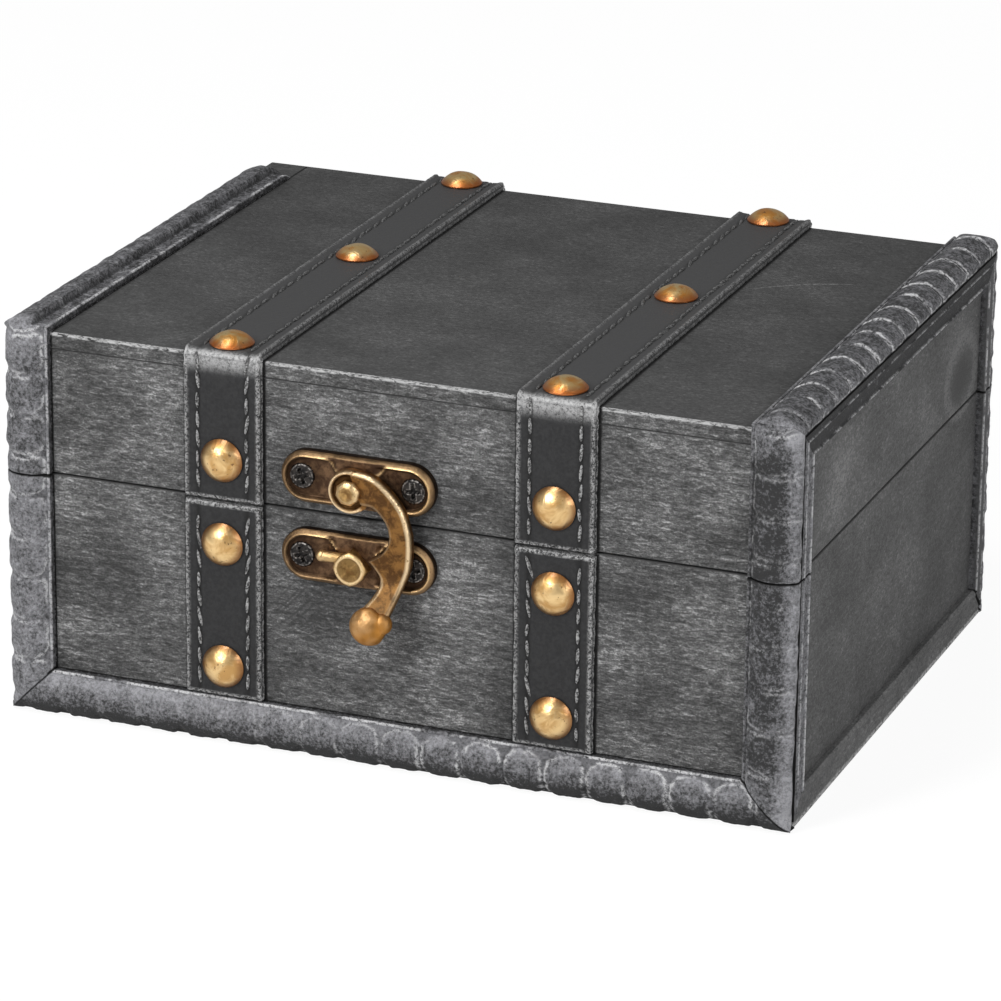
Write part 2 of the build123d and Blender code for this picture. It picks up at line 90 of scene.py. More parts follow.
# %% [markdown]
# The camera stands to the right of the chest and a little above it, far away behind a long lens,
# so that the edges hardly converge. Its place was found by fitting the corners of the case. It
# starts looking straight down, is lifted, and is then turned to the side.

# %% Camera
CAMERA_TURN = math.radians(21.247)
CAMERA_LIFT = math.radians(19.896)
CAMERA_ROLL = math.radians(0.649)
CAMERA_PLACE = Vector((391.036, -1012.224 + CASE_MIDDLE, 430.188))
FOCAL_PIXELS = 5180.189
IMAGE_PIXELS = 1001
SENSOR_MM = 36.0
SEES_UP_TO = 20

camera_data = bpy.data.cameras.new("camera")
camera_data.sensor_width = SENSOR_MM
camera_data.lens = FOCAL_PIXELS / IMAGE_PIXELS * SENSOR_MM
camera_data.clip_end = SEES_UP_TO
camera = bpy.data.objects.new("camera", camera_data)
camera.matrix_world = (
    Matrix.Translation(CAMERA_PLACE * MM) @ Matrix.Rotation(CAMERA_TURN, 4, "Z")
    @ Matrix.Rotation(math.pi / 2 - CAMERA_LIFT, 4, "X") @ Matrix.Rotation(CAMERA_ROLL, 4, "Z"))
bpy.context.scene.collection.objects.link(camera)
bpy.context.scene.camera = camera
print("lens", round(camera_data.lens, 1), "mm")

# %% [markdown]
# Most finishes mix a few noises. Small helpers keep the node code short: the first adds a node
# and fills its sockets, by value or by link, and the others put it to the uses that come back in
# every finish. Plain numbers go straight onto the shader's sockets.

# %% Helpers for materials

DULL_SPECULAR = 0.2


def add_node(material, kind, inputs=None, **settings):
    """Adds a node, sets its properties and fills or links its inputs."""
    node = material.node_tree.nodes.new("ShaderNode" + kind)
    for name, value in settings.items():
        setattr(node, name, value)
    for name, value in (inputs or {}).items():
        if isinstance(value, bpy.types.NodeSocket):
            material.node_tree.links.new(value, node.inputs[name])
        else:
            node.inputs[name].default_value = value
    return node


def new_finish(name, roughness, metallic=0.0):
    """A material with its shader set to plain numbers."""
    material = bpy.data.materials.new(name)
    material.use_nodes = True
    inputs = material.node_tree.nodes["Principled BSDF"].inputs
    inputs["Roughness"].default_value = roughness
    inputs["Metallic"].default_value = metallic
    inputs["Specular IOR Level"].default_value = DULL_SPECULAR
    return material


def dressed(material, colour, height, distance, strength=1.0, roughness=None):
    """Links a colour, a height that tilts the light and perhaps a roughness to the shader."""
    bump = add_node(
        material, "Bump", {"Height": height, "Distance": distance, "Strength": strength})
    found = {"Base Color": colour, "Normal": bump.outputs["Normal"], "Roughness": roughness}
    for name, value in found.items():
        if value is not None:
            material.node_tree.links.new(
                value, material.node_tree.nodes["Principled BSDF"].inputs[name])
    return material


def threefold(value):
    """A single number stands for three alike: a grey, or one scale for every axis."""
    return tuple(value) if isinstance(value, (tuple, list)) else (value, value, value)


def own_place(material):
    """A point's place on the piece's own coordinates, in metres."""
    return add_node(material, "TexCoord").outputs["Object"]


def noise_of(material, scale, detail=3.0, roughness=0.6, distortion=0.0):
    """Noise on the piece's own coordinates, with a count of cells per metre."""
    mapping = add_node(
        material, "Mapping", {"Vector": own_place(material), "Scale": threefold(scale)})
    return add_node(
        material, "TexNoise",
        {"Vector": mapping.outputs["Vector"], "Scale": 1.0, "Detail": detail,
         "Roughness": roughness, "Distortion": distortion}).outputs["Fac"]


def ramp(material, value, places, greys):
    """A colour ramp through greys at their places."""
    node = add_node(material, "ValToRGB", {"Fac": value})
    elements = node.color_ramp.elements
    while len(elements) < len(places):
        elements.new(0.5)
    for element, place, grey in zip(elements, places, greys):
        element.position = place
        element.color = (grey, grey, grey, 1)
    return node.outputs["Color"]


def blended(material, share, first, second):
    """Mixes two colours by a share."""
    colours = [colour if isinstance(colour, bpy.types.NodeSocket) else (*threefold(colour), 1)
               for colour in (first, second)]
    return add_node(material, "Mix", {0: share, 6: colours[0], 7: colours[1]},
                    data_type="RGBA").outputs[2]


def sum_of(material, first, second, operation="ADD", clamp=False):
    """Arithmetic on two values."""
    return add_node(
        material, "Math", {0: first, 1: second}, operation=operation,
        use_clamp=clamp).outputs[0]


def times(material, first, second, clamp=False):
    """The product of two values."""
    return sum_of(material, first, second, "MULTIPLY", clamp)


def swing(material, value, amount):
    """How far a value is above or below a half, times an amount."""
    return times(material, sum_of(material, value, 0.5, "SUBTRACT"), amount)


def away_from(material, value, place):
    """How far a value is from a place, either way."""
    return sum_of(material, sum_of(material, value, place, "SUBTRACT"), 0.0, "ABSOLUTE")


def ranged(material, value, low, high, at_low, at_high, **settings):
    """Turns a value between low and high into one between at_low and at_high."""
    return add_node(
        material, "MapRange", {"Value": value, "From Min": low, "From Max": high,
                               "To Min": at_low, "To Max": at_high},
        **settings).outputs["Result"]


def masked(material, value, low, high):
    """A share that is 0 below low and 1 above high, with a smooth run between."""
    return ranged(material, value, low, high, 0.0, 1.0, interpolation_type="SMOOTHSTEP")


def painted(material, name):
    """The value that a piece's own vertices carry under a name."""
    return add_node(material, "Attribute", attribute_name=name).outputs["Fac"]


def near_line(material, axis, place, half_width):
    """A share that is 1 on the plane at a place (mm) across an axis and 0 beyond half_width."""
    value = add_node(material, "SeparateXYZ", {"Vector": own_place(material)}).outputs[axis]
    return ranged(material, away_from(material, value, place * MM),
                  0.4 * half_width * MM, half_width * MM, 1.0, 0.0)


def oval_share(material, middle, radii, at, soft):
    """A share for an oval mark: 1 where the distance in radii is `at`, 0 a soft width away."""
    away = own_place(material)
    for operation, by in (("SUBTRACT", middle), ("DIVIDE", radii)):
        away = add_node(material, "VectorMath", {0: away, 1: Vector(by) * MM},
                        operation=operation).outputs[0]
    away = add_node(material, "VectorMath", {0: away}, operation="LENGTH").outputs["Value"]
    return masked(material, away_from(material, away, at), soft, 0.25 * soft)


# %% [markdown]
# The boards are thin wood under a charcoal stain. On the front the stain was brushed and wiped,
# so short light dashes follow the grain. The lid's top and the ends are darker and smoother.
# One function makes them all from five greys, with the grain along X for front, back and lid,
# and along Y for the ends.
#
# Hand work is uneven, so each wood may have three things more. A line is (axis, place, half
# width, grey): a dark one is painted shade, where a moulding, a strap or the lid's parting
# shades the wood beside it, and a pale one is where an edge is worn. An oval is (middle, radii,
# distance, softness): filled at distance 0, a ring at distance 1. A smudge shifts the stain's
# level inside an oval, and a mark lays one grey where its ovals overlap, such as the knot in the
# right end, the curved scratch on the lid and the ones under the hook.

# %% Stained wood

DASHES_PER_METRE = 1750.0
STREAKS_PER_METRE = 900.0
GRIT_PER_METRE = 2100.0
GREY_PLACES = (0.40, 0.465, 0.52, 0.575, 0.65)
# Painted shade: the grey of the dark lines where one part shades the wood beside it.
PAINTED_SHADE_LINE = 0.012
# Painted shadow: the grey of the lines beside the straps.
STRAP_SHADE = 0.016
WORN_LINE = 0.50
PALE_MARK = 0.1


def stained_wood(name, grain_axis, greys, dashes, stretch, bump_height, lines=(), smudges=(),
                 marks=()):
    """Charcoal-stained wood: greys from dark to light, with dashes along the grain."""
    material = new_finish(name, 0.66)

    def grain(along, across, detail, distortion):
        scale = [across, across, across]
        scale[grain_axis] = along
        return noise_of(material, scale, detail, 0.72, distortion)

    fine = grain(DASHES_PER_METRE / stretch, DASHES_PER_METRE, 4.0, 0.7)
    long = grain(STREAKS_PER_METRE / stretch ** 1.5, STREAKS_PER_METRE, 3.0, 0.8)
    patches = swing(material, noise_of(material, (48.0, 48.0, 70.0), 2.0, 0.5), 0.25)
    grit = swing(material, noise_of(material, GRIT_PER_METRE, roughness=0.8), 0.30)
    level = sum_of(material, times(material, fine, dashes), times(material, long, 0.8 - dashes))
    for part in (sum_of(material, patches, 0.10), grit, *(
            times(material, oval_share(material, *oval), shift) for oval, shift in smudges)):
        level = sum_of(material, level, part)
    colour = ramp(material, level, GREY_PLACES, greys)
    for ovals, amount, grey in marks:
        share = amount
        for oval in ovals:
            share = times(material, oval_share(material, *oval), share)
        if grey > PALE_MARK:
            share = times(material, share, masked(material, fine, 0.36, 0.58))
        colour = blended(material, share, colour, grey)
    for axis, place, half_width, grey in lines:
        share = near_line(material, axis, place, half_width)
        if grey == WORN_LINE:
            share = times(material, share, masked(material, fine, 0.38, 0.56))
        colour = blended(material, share, colour, grey)
    return dressed(material, colour, level, bump_height)


def panel_lines(inset, half_width):
    """The painted shade lines where the front's or the lid's panel meets the mouldings."""
    return [("X", side * (PANEL_SIDE - inset), half_width, PAINTED_SHADE_LINE) for side in (1, -1)]


# Painted shadow: a dark line on the wood beside each edge of the lid's straps.
strap_shadow_lines = [
    ("X", box_mm(f"lid_{hand}_strap")[end].x + beside, 0.75, STRAP_SHADE)
    for hand in ("left", "right") for end, beside in ((0, -0.25), (1, 0.25))]
# Painted shade beside the mouldings, at the parting and over the bottom moulding; a worn pale
# line at the top edge.
front_lines = panel_lines(0.1, 0.35) + [
    ("Z", PARTING, 0.4, PAINTED_SHADE_LINE), ("Z", MOULDING_FACE + 0.1, 0.25, PAINTED_SHADE_LINE),
    ("Z", LID_TOP - 0.35, 0.42, WORN_LINE)] + strap_shadow_lines
# On the lid's top: painted shade beside the mouldings and a worn pale front edge.
top_lines = panel_lines(0.0, 0.4) + [("Y", CASE_FRONT + 0.2, 0.45, WORN_LINE)] + strap_shadow_lines
front_smudges = [
    (((x, CASE_FRONT, z), (wide, 20, high), 0.0, 1.0), shift) for x, z, wide, high, shift in (
        (-8, 80.5, 26, 5.0, 0.034), (-64, 77, 22, 7.0, 0.016), (22, 74, 12, 9.0, 0.022),
        (-58, 46, 18, 5.0, 0.014), (-14, 36, 22, 12.0, -0.026), (-62, 24, 30, 20.0, -0.030),
        (60, 62, 18, 7.0, -0.016), (24, 50, 10, 5.0, -0.020), (-20, 60, 6, 4.0, 0.020),
        (70, 72, 10, 8.0, 0.016))]
end_smudges = [
    (((CASE_SIDE, y, z), (60, wide, high), 0.0, soft), shift)
    for y, z, wide, high, soft, shift in (
        (26, 58, 28, 16, 1.0, 0.030), (-34, 65, 26, 14, 1.1, 0.085),
        (-52, 40, 10, 30, 1.0, 0.030), (10, 28, 46, 18, 1.0, 0.018))]
SCRATCHED_X, SCRATCHED_Z, SCRATCH_CENTRE = -21, 33, 42
scratched = ((SCRATCHED_X, CASE_FRONT, SCRATCHED_Z), (10, 20, 8), 0.0, 1.0)
scratches = [
    ([((SCRATCHED_X + step - SCRATCH_CENTRE, CASE_FRONT, SCRATCHED_Z + SCRATCH_CENTRE),
       (60, 2000, 60), 1.0, 0.006), scratched], 0.8, 0.05)
    for step in (-7.5, -5.2, -4.1, -1.0, 0.8, 3.6, 5.0)]
curved_scratch = ([((80.7, -7.6, LID_TOP), (44.6, 44.6, 20), 1.0, 0.010),
                   ((58.5, 29.5, LID_TOP), (16, 16, 20), 0.0, 1.0)], 0.9, 0.24)
KNOT = (CASE_SIDE, 53.0, 63.4)
knot_marks = [([(KNOT, (60, 11, 8.6), 1.0, 0.30)], 0.9, 0.17),
              ([(KNOT, (60, 10, 7.6), 0.0, 1.1)], 0.9, 0.055)]

front_wood = stained_wood(
    "front_wood", 0, (0.040, 0.074, 0.116, 0.205, 0.44), 0.5, 3.0, 0.0007, front_lines,
    front_smudges, scratches)
top_wood = stained_wood(
    "top_wood", 0, (0.048, 0.062, 0.075, 0.094, 0.150), 0.5, 1.6, 0.00030, top_lines,
    [(((0, 10, LID_TOP), (45, 40, 20), 0.0, 1.0), 0.014)], [curved_scratch])
# The ends: painted shade at the parting and a worn pale bottom edge.
end_wood = stained_wood(
    "end_wood", 1, (0.058, 0.081, 0.101, 0.126, 0.210), 0.5, 1.8, 0.00030,
    [("Z", PARTING, 0.4, PAINTED_SHADE_LINE), ("Z", 0.4, 0.6, WORN_LINE)], end_smudges, knot_marks)
# Painted light: a paler copy of the end wood, so that the strips low by the floor, which sit in
# shade, look as light as the end above them.
lit_strip_wood = stained_wood(
    "lit_strip_wood", 1, (0.085, 0.120, 0.150, 0.185, 0.300), 0.5, 1.8, 0.00030,
    [("Z", 0.4, 0.8, WORN_LINE)])
inner_wood = stained_wood(
    "inner_wood", 0, (0.045, 0.055, 0.066, 0.080, 0.11), 0.4, 3.0, 0.00012)
print("smudges and marks on the front:", len(front_smudges) + len(scratches))

# %% [markdown]
# The mouldings are embossed wood. After staining they were rubbed back, unevenly by hand. The
# pieces carry four painted values that are worked out with the relief: rim for the thin ridges
# that were rubbed white and lit by a painted highlight, a dark value for the stain that stayed
# black in the seams and for painted shade in the gaps and steps round the crown, pale for how
# grey the face is, and smooth for a leg whose stain was left alone.

# %% Rubbed moulding wood


def rubbed_wood():
    """Embossed wood: dark stain and painted shade, grey where rubbed, white on the rims, rubbed
    and with a painted highlight.
    """
    material = new_finish("moulding_wood", 0.62)
    speckle = noise_of(material, 1500.0, 4.0, 0.8)
    blotches = noise_of(material, 420.0, 3.0, 0.7, 0.6)
    broken = noise_of(material, 150.0, 3.0, 0.65, 0.5)
    spread = sum_of(material, swing(material, speckle, 2.5), swing(material, blotches, 1.3))
    pale = sum_of(material, painted(material, "pale"), spread, clamp=True)
    body = blended(material, pale, (0.036, 0.036, 0.037), (0.35, 0.35, 0.37))
    body = blended(material, painted(material, "smooth"), body, (0.105, 0.105, 0.107))
    # White rims: rubbed wood with a painted highlight.
    rim = times(material, painted(material, "rim"), masked(material, broken, 0.40, 0.56), True)
    rim = times(material, rim, masked(material, speckle, 0.36, 0.56))
    colour = blended(material, rim, body, (0.66, 0.66, 0.67))
    # Black: stain left in seams and joints, and painted shade.
    colour = blended(material, painted(material, "dark_and_shade"), colour, 0.014)
    return dressed(material, colour, speckle, 0.00045)


moulding_wood = rubbed_wood()
print("finish:", moulding_wood.name)

# %% [markdown]
# The straps are black leather with a smooth face, dusty on the lid's top and painted lighter
# there as top light. Their cut edges are frayed and show as a light fuzz, which the painted value
# wear marks. Where a strap bends over the lid's edge the face is cracked pale and carries a
# painted highlight, and the stitches lie in a channel painted dark as the shade between them.
# The thread is grey and a little fluffy, painted darker on the lid's top as shade.

# %% Leather and thread


def leather():
    """Black leather with dust and painted top light, painted shade in the stitch channels,
    cracked bends with a painted highlight, and fuzz.
    """
    material = new_finish("strap_leather", 0.55)
    grain = noise_of(material, 1400.0)
    fuzz = noise_of(material, 1700.0, 4.0, 0.8, 0.5)
    colour = blended(material, masked(material, grain, 0.3, 0.7),
                     (0.022, 0.022, 0.023), (0.032, 0.032, 0.033))
    # Dust and painted top light: paler where the strap faces up.
    colour = blended(material, painted(material, "dust_and_top_light"), colour, (0.060, 0.060, 0.061))
    # Painted shade: the stitch channel is dark, as the shade between the stitches.
    colour = blended(material, painted(material, "channel"), colour, 0.010)
    # The bend is cracked pale and carries a painted highlight; the frayed edges are worn.
    for name, low, high, grey in (("bend", 0.25, 0.62, 0.52), ("wear", 0.42, 0.58, 0.46)):
        share = times(material, painted(material, name), masked(material, fuzz, low, high), True)
        colour = blended(material, share, colour, grey)
    return dressed(material, colour, grain, 0.00010)


def grey_thread():
    """Grey thread with a twist, painted darker on the lid's top as shade."""
    material = new_finish("thread", 0.85)
    twist = noise_of(material, 1900.0, 3.0, 0.75)
    # Painted shade: the thread is darker on the lid's top.
    light = blended(material, near_line(material, "Z", LID_TOP + 2.0, 3.0), 0.38, 0.16)
    colour = blended(material, masked(material, twist, 0.40, 0.60), 0.05, light)
    return dressed(material, colour, twist, 0.0003)


strap_leather = leather()
thread = grey_thread()
print("finishes:", strap_leather.name, "and", thread.name)

# %% [markdown]
# The metal is plated to look old: lacquered domes with small dark specks, brass on the sides and
# coppery on the lid's top, a tone that is partly a painted warm reflection, and a latch of
# antique bronze that is dark brown in its recesses, rubbed to gold on every rim with painted
# highlights on the rims that face the light, with a golden knob.

# %% Metals

LACQUER = {"Coat Weight": 0.45, "Coat Roughness": 0.24}
KNOB_GOLD = (0.54, 0.245, 0.050)


def aged_brass(name, deep, bright, speck):
    """Domed plating: clouds of a deep and a bright tone, dark round the edge with patina and a
    painted darker reflection, with specks.
    """
    material = new_finish(name, 0.30, 1.0)
    for socket, amount in LACQUER.items():
        material.node_tree.nodes["Principled BSDF"].inputs[socket].default_value = amount
    cloud = noise_of(material, 260.0, 3.0, 0.6, 0.7)
    dots = noise_of(material, 1100.0)
    colour = blended(material, masked(material, cloud, 0.36, 0.64), deep, bright)
    # Patina and painted darker reflection round the dome's edge.
    edge = tuple(0.62 * tone * tone + 0.02 for tone in deep)
    colour = blended(material, painted(material, "dark_and_shade"), colour, edge)
    colour = blended(material, masked(material, dots, 0.62, 0.72), colour, speck)
    return dressed(material, colour, cloud, 0.0004, 0.6,
                   ranged(material, cloud, 0.3, 0.7, 0.46, 0.34))


def antique_bronze(name, recess, middle, rubbed, low=0.40, high=0.62):
    """Cast metal, dark in its recesses, with its high edges rubbed bright and lit by painted
    highlights.
    """
    material = new_finish(name, 0.34, 1.0)
    cloud = noise_of(material, 420.0, 4.0, 0.7, 0.4)
    grit = noise_of(material, 1500.0, 3.0, 0.7)
    colour = blended(material, masked(material, cloud, low, high), recess, middle)
    colour = blended(material, painted(material, "gold"), colour, KNOB_GOLD)
    # Rubbed edges, which also carry painted highlights and glints.
    edge = times(material, painted(material, "rim"), masked(material, grit, 0.20, 0.45), True)
    colour = blended(material, edge, colour, rubbed)
    colour = blended(material, painted(material, "dark_and_shade"), colour,
                     tuple(0.35 * tone for tone in recess))
    return dressed(material, colour, grit, 0.00016,
                   roughness=ranged(material, edge, 0.0, 1.0, 0.50, 0.30))


stud_brass = aged_brass(
    "stud_brass", (0.66, 0.38, 0.13), (0.95, 0.67, 0.32), (0.30, 0.16, 0.06))
# Partly painted reflection: a warmer copy of the brass for the top studs, for the warm light they
# reflect.
stud_brass_warm_reflection = aged_brass(
    "stud_brass_warm_reflection", (0.88, 0.40, 0.08), (1.0, 0.74, 0.34), (0.36, 0.15, 0.05))
plate_bronze = antique_bronze(
    "plate_bronze", (0.075, 0.042, 0.026), (0.20, 0.118, 0.066), (0.86, 0.58, 0.29), 0.36, 0.66)
hook_bronze = antique_bronze(
    "hook_bronze", (0.115, 0.056, 0.022), (0.29, 0.145, 0.046), (0.95, 0.72, 0.44), 0.38, 0.62)
gold_bronze = antique_bronze(
    "gold_bronze", (0.24, 0.13, 0.045), (0.50, 0.31, 0.115), (0.95, 0.70, 0.38), 0.36, 0.60)
hinge_brass = antique_bronze(
    "hinge_brass", (0.10, 0.06, 0.03), (0.30, 0.18, 0.08), (0.70, 0.46, 0.22))
screw_steel = antique_bronze(
    "screw_steel", (0.020, 0.019, 0.019), (0.062, 0.056, 0.052), (0.75, 0.70, 0.66))
print("materials so far:", len(bpy.data.materials))

# %% [markdown]
# A piece is finished the same way each time: its mesh goes into an object at the origin, it gets
# its material, it rides on its body, and it stands for the frame's own piece, which is then
# hidden. Sharp edges stay sharp by their angle. The other helpers serve the pieces that start as
# a grid or as a spun outline: their points, the values painted on them, and the closing of their
# seams and ends.

# %% Finishing a piece

ANGLE_KEPT_SHARP = math.radians(38)
MERGED_WITHIN = 0.0001
BODY_OF = {node: body for body, nodes in frame["record"]["behaviour"]["bodies"].items()
           for node in nodes}


def finished(mesh_in_mm, name, material, node, replaced=True):
    """Turns a bmesh in millimetres into the piece that stands for a node of the frame."""
    bmesh.ops.scale(mesh_in_mm, vec=(MM, MM, MM), verts=mesh_in_mm.verts)
    mesh = bpy.data.meshes.new(name)
    mesh_in_mm.to_mesh(mesh)
    mesh_in_mm.free()
    mesh.shade_smooth()
    mesh.set_sharp_from_angle(angle=ANGLE_KEPT_SHARP)
    mesh.materials.append(material)
    piece = bpy.data.objects.new(name, mesh)
    bpy.context.scene.collection.objects.link(piece)
    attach(piece, BODY_OF[node])
    if replaced:
        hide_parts(node)
    return piece


def refinish(node, material):
    """Gives one of the frame's own pieces another material."""
    piece = frame["nodes"][node]
    piece.data.materials.clear()
    piece.data.materials.append(material)


def grid_points(mesh, columns, rows):
    """Adds a grid; each of its points comes with its column and its share of the way up."""
    made = bmesh.ops.create_grid(mesh, x_segments=columns, y_segments=rows, size=0.5)["verts"]
    return [(vert, round((vert.co.x + 0.5) * columns), vert.co.y + 0.5) for vert in made]


def layers(mesh, *names):
    """A painted value under each name, to be set point by point."""
    return [mesh.verts.layers.float.new(name) for name in names]


def closed(mesh):
    """Merges points that meet and fills what is still open. Returns the new faces."""
    bmesh.ops.remove_doubles(mesh, verts=mesh.verts, dist=MERGED_WITHIN)
    open_edges = [edge for edge in mesh.edges if edge.is_boundary]
    return bmesh.ops.holes_fill(mesh, edges=open_edges, sides=0)["faces"]


def faced_outward(mesh):
    """Turns every face outward."""
    bmesh.ops.recalc_face_normals(mesh, faces=mesh.faces)
    return mesh


def spun(mesh, outline, steps, first_angle=0.0):
    """Spins an outline of (radius, height) round the height axis and returns the new points."""
    before = set(mesh.verts)
    start = [mesh.verts.new((radius * math.cos(first_angle), radius * math.sin(first_angle),
                             height)) for radius, height in outline]
    edges = [mesh.edges.new(pair) for pair in zip(start, start[1:])]
    bmesh.ops.spin(
        mesh, geom=start + edges, cent=(0, 0, 0), axis=(0, 0, 1), angle=2 * math.pi,
        steps=steps, use_merge=True)
    return [vert for vert in mesh.verts if vert not in before]


# %% [markdown]
# Boards are plain blocks, but their arrises are softened by sanding. A cube is stretched to the
# board's own box, its edges are bevelled, and the soft arris catches the thin line of light that
# real boards show. Inside, and on the rims that the lid closes on, the wood is plain, and the
# top board's long edges are stained like the front.

# %% Boards

BOARD_ARRIS = 0.35
WELL_TURNED = 0.6


def board_piece(node, material, outward):
    """A board, stained on its outer side."""
    outward = Vector(outward)
    low, high = box_mm(node)
    block = bmesh.new()
    bmesh.ops.create_cube(block, size=1.0)
    bmesh.ops.scale(block, vec=high - low, verts=block.verts)
    bmesh.ops.translate(block, vec=(low + high) / 2, verts=block.verts)
    bmesh.ops.bevel(
        block, geom=block.edges[:], offset=BOARD_ARRIS, segments=3, profile=0.5,
        affect="EDGES", material=-1)
    block.normal_update()
    for face in block.faces:
        inner = face.normal.dot(outward) < -WELL_TURNED
        rim = outward.z == 0 and abs(face.normal.z) > WELL_TURNED
        front = outward.z > 0 and abs(face.normal.y) > WELL_TURNED
        face.material_index = 1 if inner or rim else 2 if front else 0
    piece = finished(block, node + "_wood", material, node)
    piece.data.materials.append(inner_wood)
    piece.data.materials.append(front_wood)


boards = [
    ("base_front_board", front_wood, (0, -1, 0)), ("lid_front_rail", front_wood, (0, -1, 0)),
    ("base_back_board", front_wood, (0, 1, 0)), ("lid_back_rail", front_wood, (0, 1, 0)),
    *((f"{body}_{hand}_end", end_wood, (side, 0, 0))
      for body in ("base", "lid") for hand, side in (("left", -1), ("right", 1))),
    ("lid_top_board", top_wood, (0, 0, 1)), ("base_floor", inner_wood, (0, 0, -1))]
for board in boards:
    board_piece(*board)
print("boards:", len(boards))

# %% [markdown]
# A moulding is one long strip whose section is a lip, a round crown that wraps over the corner,
# and a thin leg with two fine ridges. The crown is pressed into a row of pillows whose ends are
# bowed like scales. A grid is the quickest start: one direction goes round the section, the other
# along the edge, and each point is moved to its place. The pillows' relief and the painted values
# come from one distance function.

# %% Section and pillows of the moulding

LEG_WIDTH = 6.4
LIP_WIDTH = 1.0
LIP_HEIGHT = 1.6
CROWN_HEIGHT = 3.3
CROWN_RADIUS = 6.5
PILLOW_PITCH = 9.35
PILLOW_EDGE = 0.7
OUTER_CORNER = 1.3
HALF_SEAM = 0.1
CROWN_V = CROWN_HEIGHT - CROWN_RADIUS
CROWN_U = INNER_EDGE - LIP_WIDTH - math.sqrt(CROWN_RADIUS ** 2 - (LIP_HEIGHT - CROWN_V) ** 2)
CROWN_START = math.asin((LIP_HEIGHT - 0.2 - CROWN_V) / CROWN_RADIUS)
CROWN_END = math.pi - math.asin((-0.65 - CROWN_V) / CROWN_RADIUS)
CROWN_ARC = CROWN_RADIUS * (CROWN_END - CROWN_START)
CROWN_STATIONS = 40
LEG_STEP = 0.14
RIDGES = ((-2.35, 0.30, 0.40), (-5.85, 0.40, 0.52))


def drift(place):
    """An even, repeatable noise between -1 and 1, for whatever wanders in hand work."""
    return noise.noise(Vector(place))


def smooth_share(value, low, high):
    """0 below low, 1 above high, with a smooth run between."""
    share = min(1.0, max(0.0, (value - low) / (high - low)))
    return share * share * (3 - 2 * share)


def bell(value, width):
    """1 at 0, falling off to both sides over a width."""
    return math.exp(-(value / width) ** 2)


def pillow_inset(across, along, bow, corner):
    """How far a point is inside its pillow's rounded outline, in mm; below 0 outside it.

    across runs along the crown's round from its inner foot, and bow bends the pillows' ends.
    """
    half = CROWN_ARC / 2
    along += bow * (1 - ((across - half) / half) ** 2)
    place = ((along / PILLOW_PITCH) % 1.0 - 0.5) * PILLOW_PITCH
    radius = corner if across < half else OUTER_CORNER
    side_x = abs(across - half) - (half - radius)
    side_y = abs(place) - (PILLOW_PITCH / 2 - HALF_SEAM - radius)
    outside = math.hypot(max(side_x, 0.0), max(side_y, 0.0))
    return radius - outside - min(max(side_x, side_y), 0.0)


def section_stations(with_leg):
    """The section's points as (kind, u, v), once round, starting inside the lip."""
    stations = [
        ("gap", INNER_EDGE, 0.0), ("gap", INNER_EDGE, 0.35), ("flank", INNER_EDGE, 0.6),
        ("flank", INNER_EDGE, LIP_HEIGHT - 0.35),
        ("lip", INNER_EDGE - 0.10, LIP_HEIGHT - 0.10), ("lip", INNER_EDGE - 0.3, LIP_HEIGHT),
        ("lip", INNER_EDGE - 0.6, LIP_HEIGHT - 0.05)]
    for step in range(CROWN_STATIONS + 1):
        angle = CROWN_START + (CROWN_END - CROWN_START) * step / CROWN_STATIONS
        stations.append(("crown", CROWN_U + CROWN_RADIUS * math.cos(angle),
                         CROWN_V + CROWN_RADIUS * math.sin(angle)))
    if with_leg:
        v = -0.8
        while v > -LEG_WIDTH:
            stations.append(("leg", -LEG, v))
            v -= LEG_STEP
        stations += [("leg", -LEG, -LEG_WIDTH), ("plain", 0.0, -LEG_WIDTH),
                     ("plain", 0.0, -LEG_WIDTH / 2), ("plain", 0.0, 0.0)]
    stations += [("plain", INNER_EDGE / 2, 0.0), ("plain", INNER_EDGE, 0.0)]
    return stations


print("section points:", len(section_stations(True)))

# %% [markdown]
# The grid's columns are the section's points, and its rows run from one mitred end to the other,
# so that both ends have the slant of their mitre from the start. The first and last columns meet,
# and merging doubles closes the tube. A moulding's style says how its pillows are bowed, how deep
# and how rubbed they are along its length, and how far its crown stands out over the corner.

# %% Building a length of moulding

ROW_SPACING = 0.36
SEAM_WANDER = 0.5
OUTLINE_DRIFT = 0.5
LUMP_HEIGHT = 0.16
EDGE_WAVES = 0.22
CROWN_SHADE_LINE_FROM = 0.965
KNEE_RADIUS = 5.0
MITRE_GAP = 0.09
BACK_BEVEL = math.tan(math.radians(56))
HINGE_OFFSET = 1.9
CORNER_WORN_BY = 3.6
PLAIN_STYLE = {
    "leg": LEG, "bulge": lambda w: 0.15, "corner": 2.6, "bow": 1.3, "edge_pale": 0.05,
    "foot_pale": 0.0, "leg_pale": 0.06, "lip": 0.5, "dark_ends": 0.0, "dark": lambda w: 0.45,
    "edge_from": 0.55, "edge_depth": 0.55, "ledge": -1.0, "leg_smooth": 0.0}


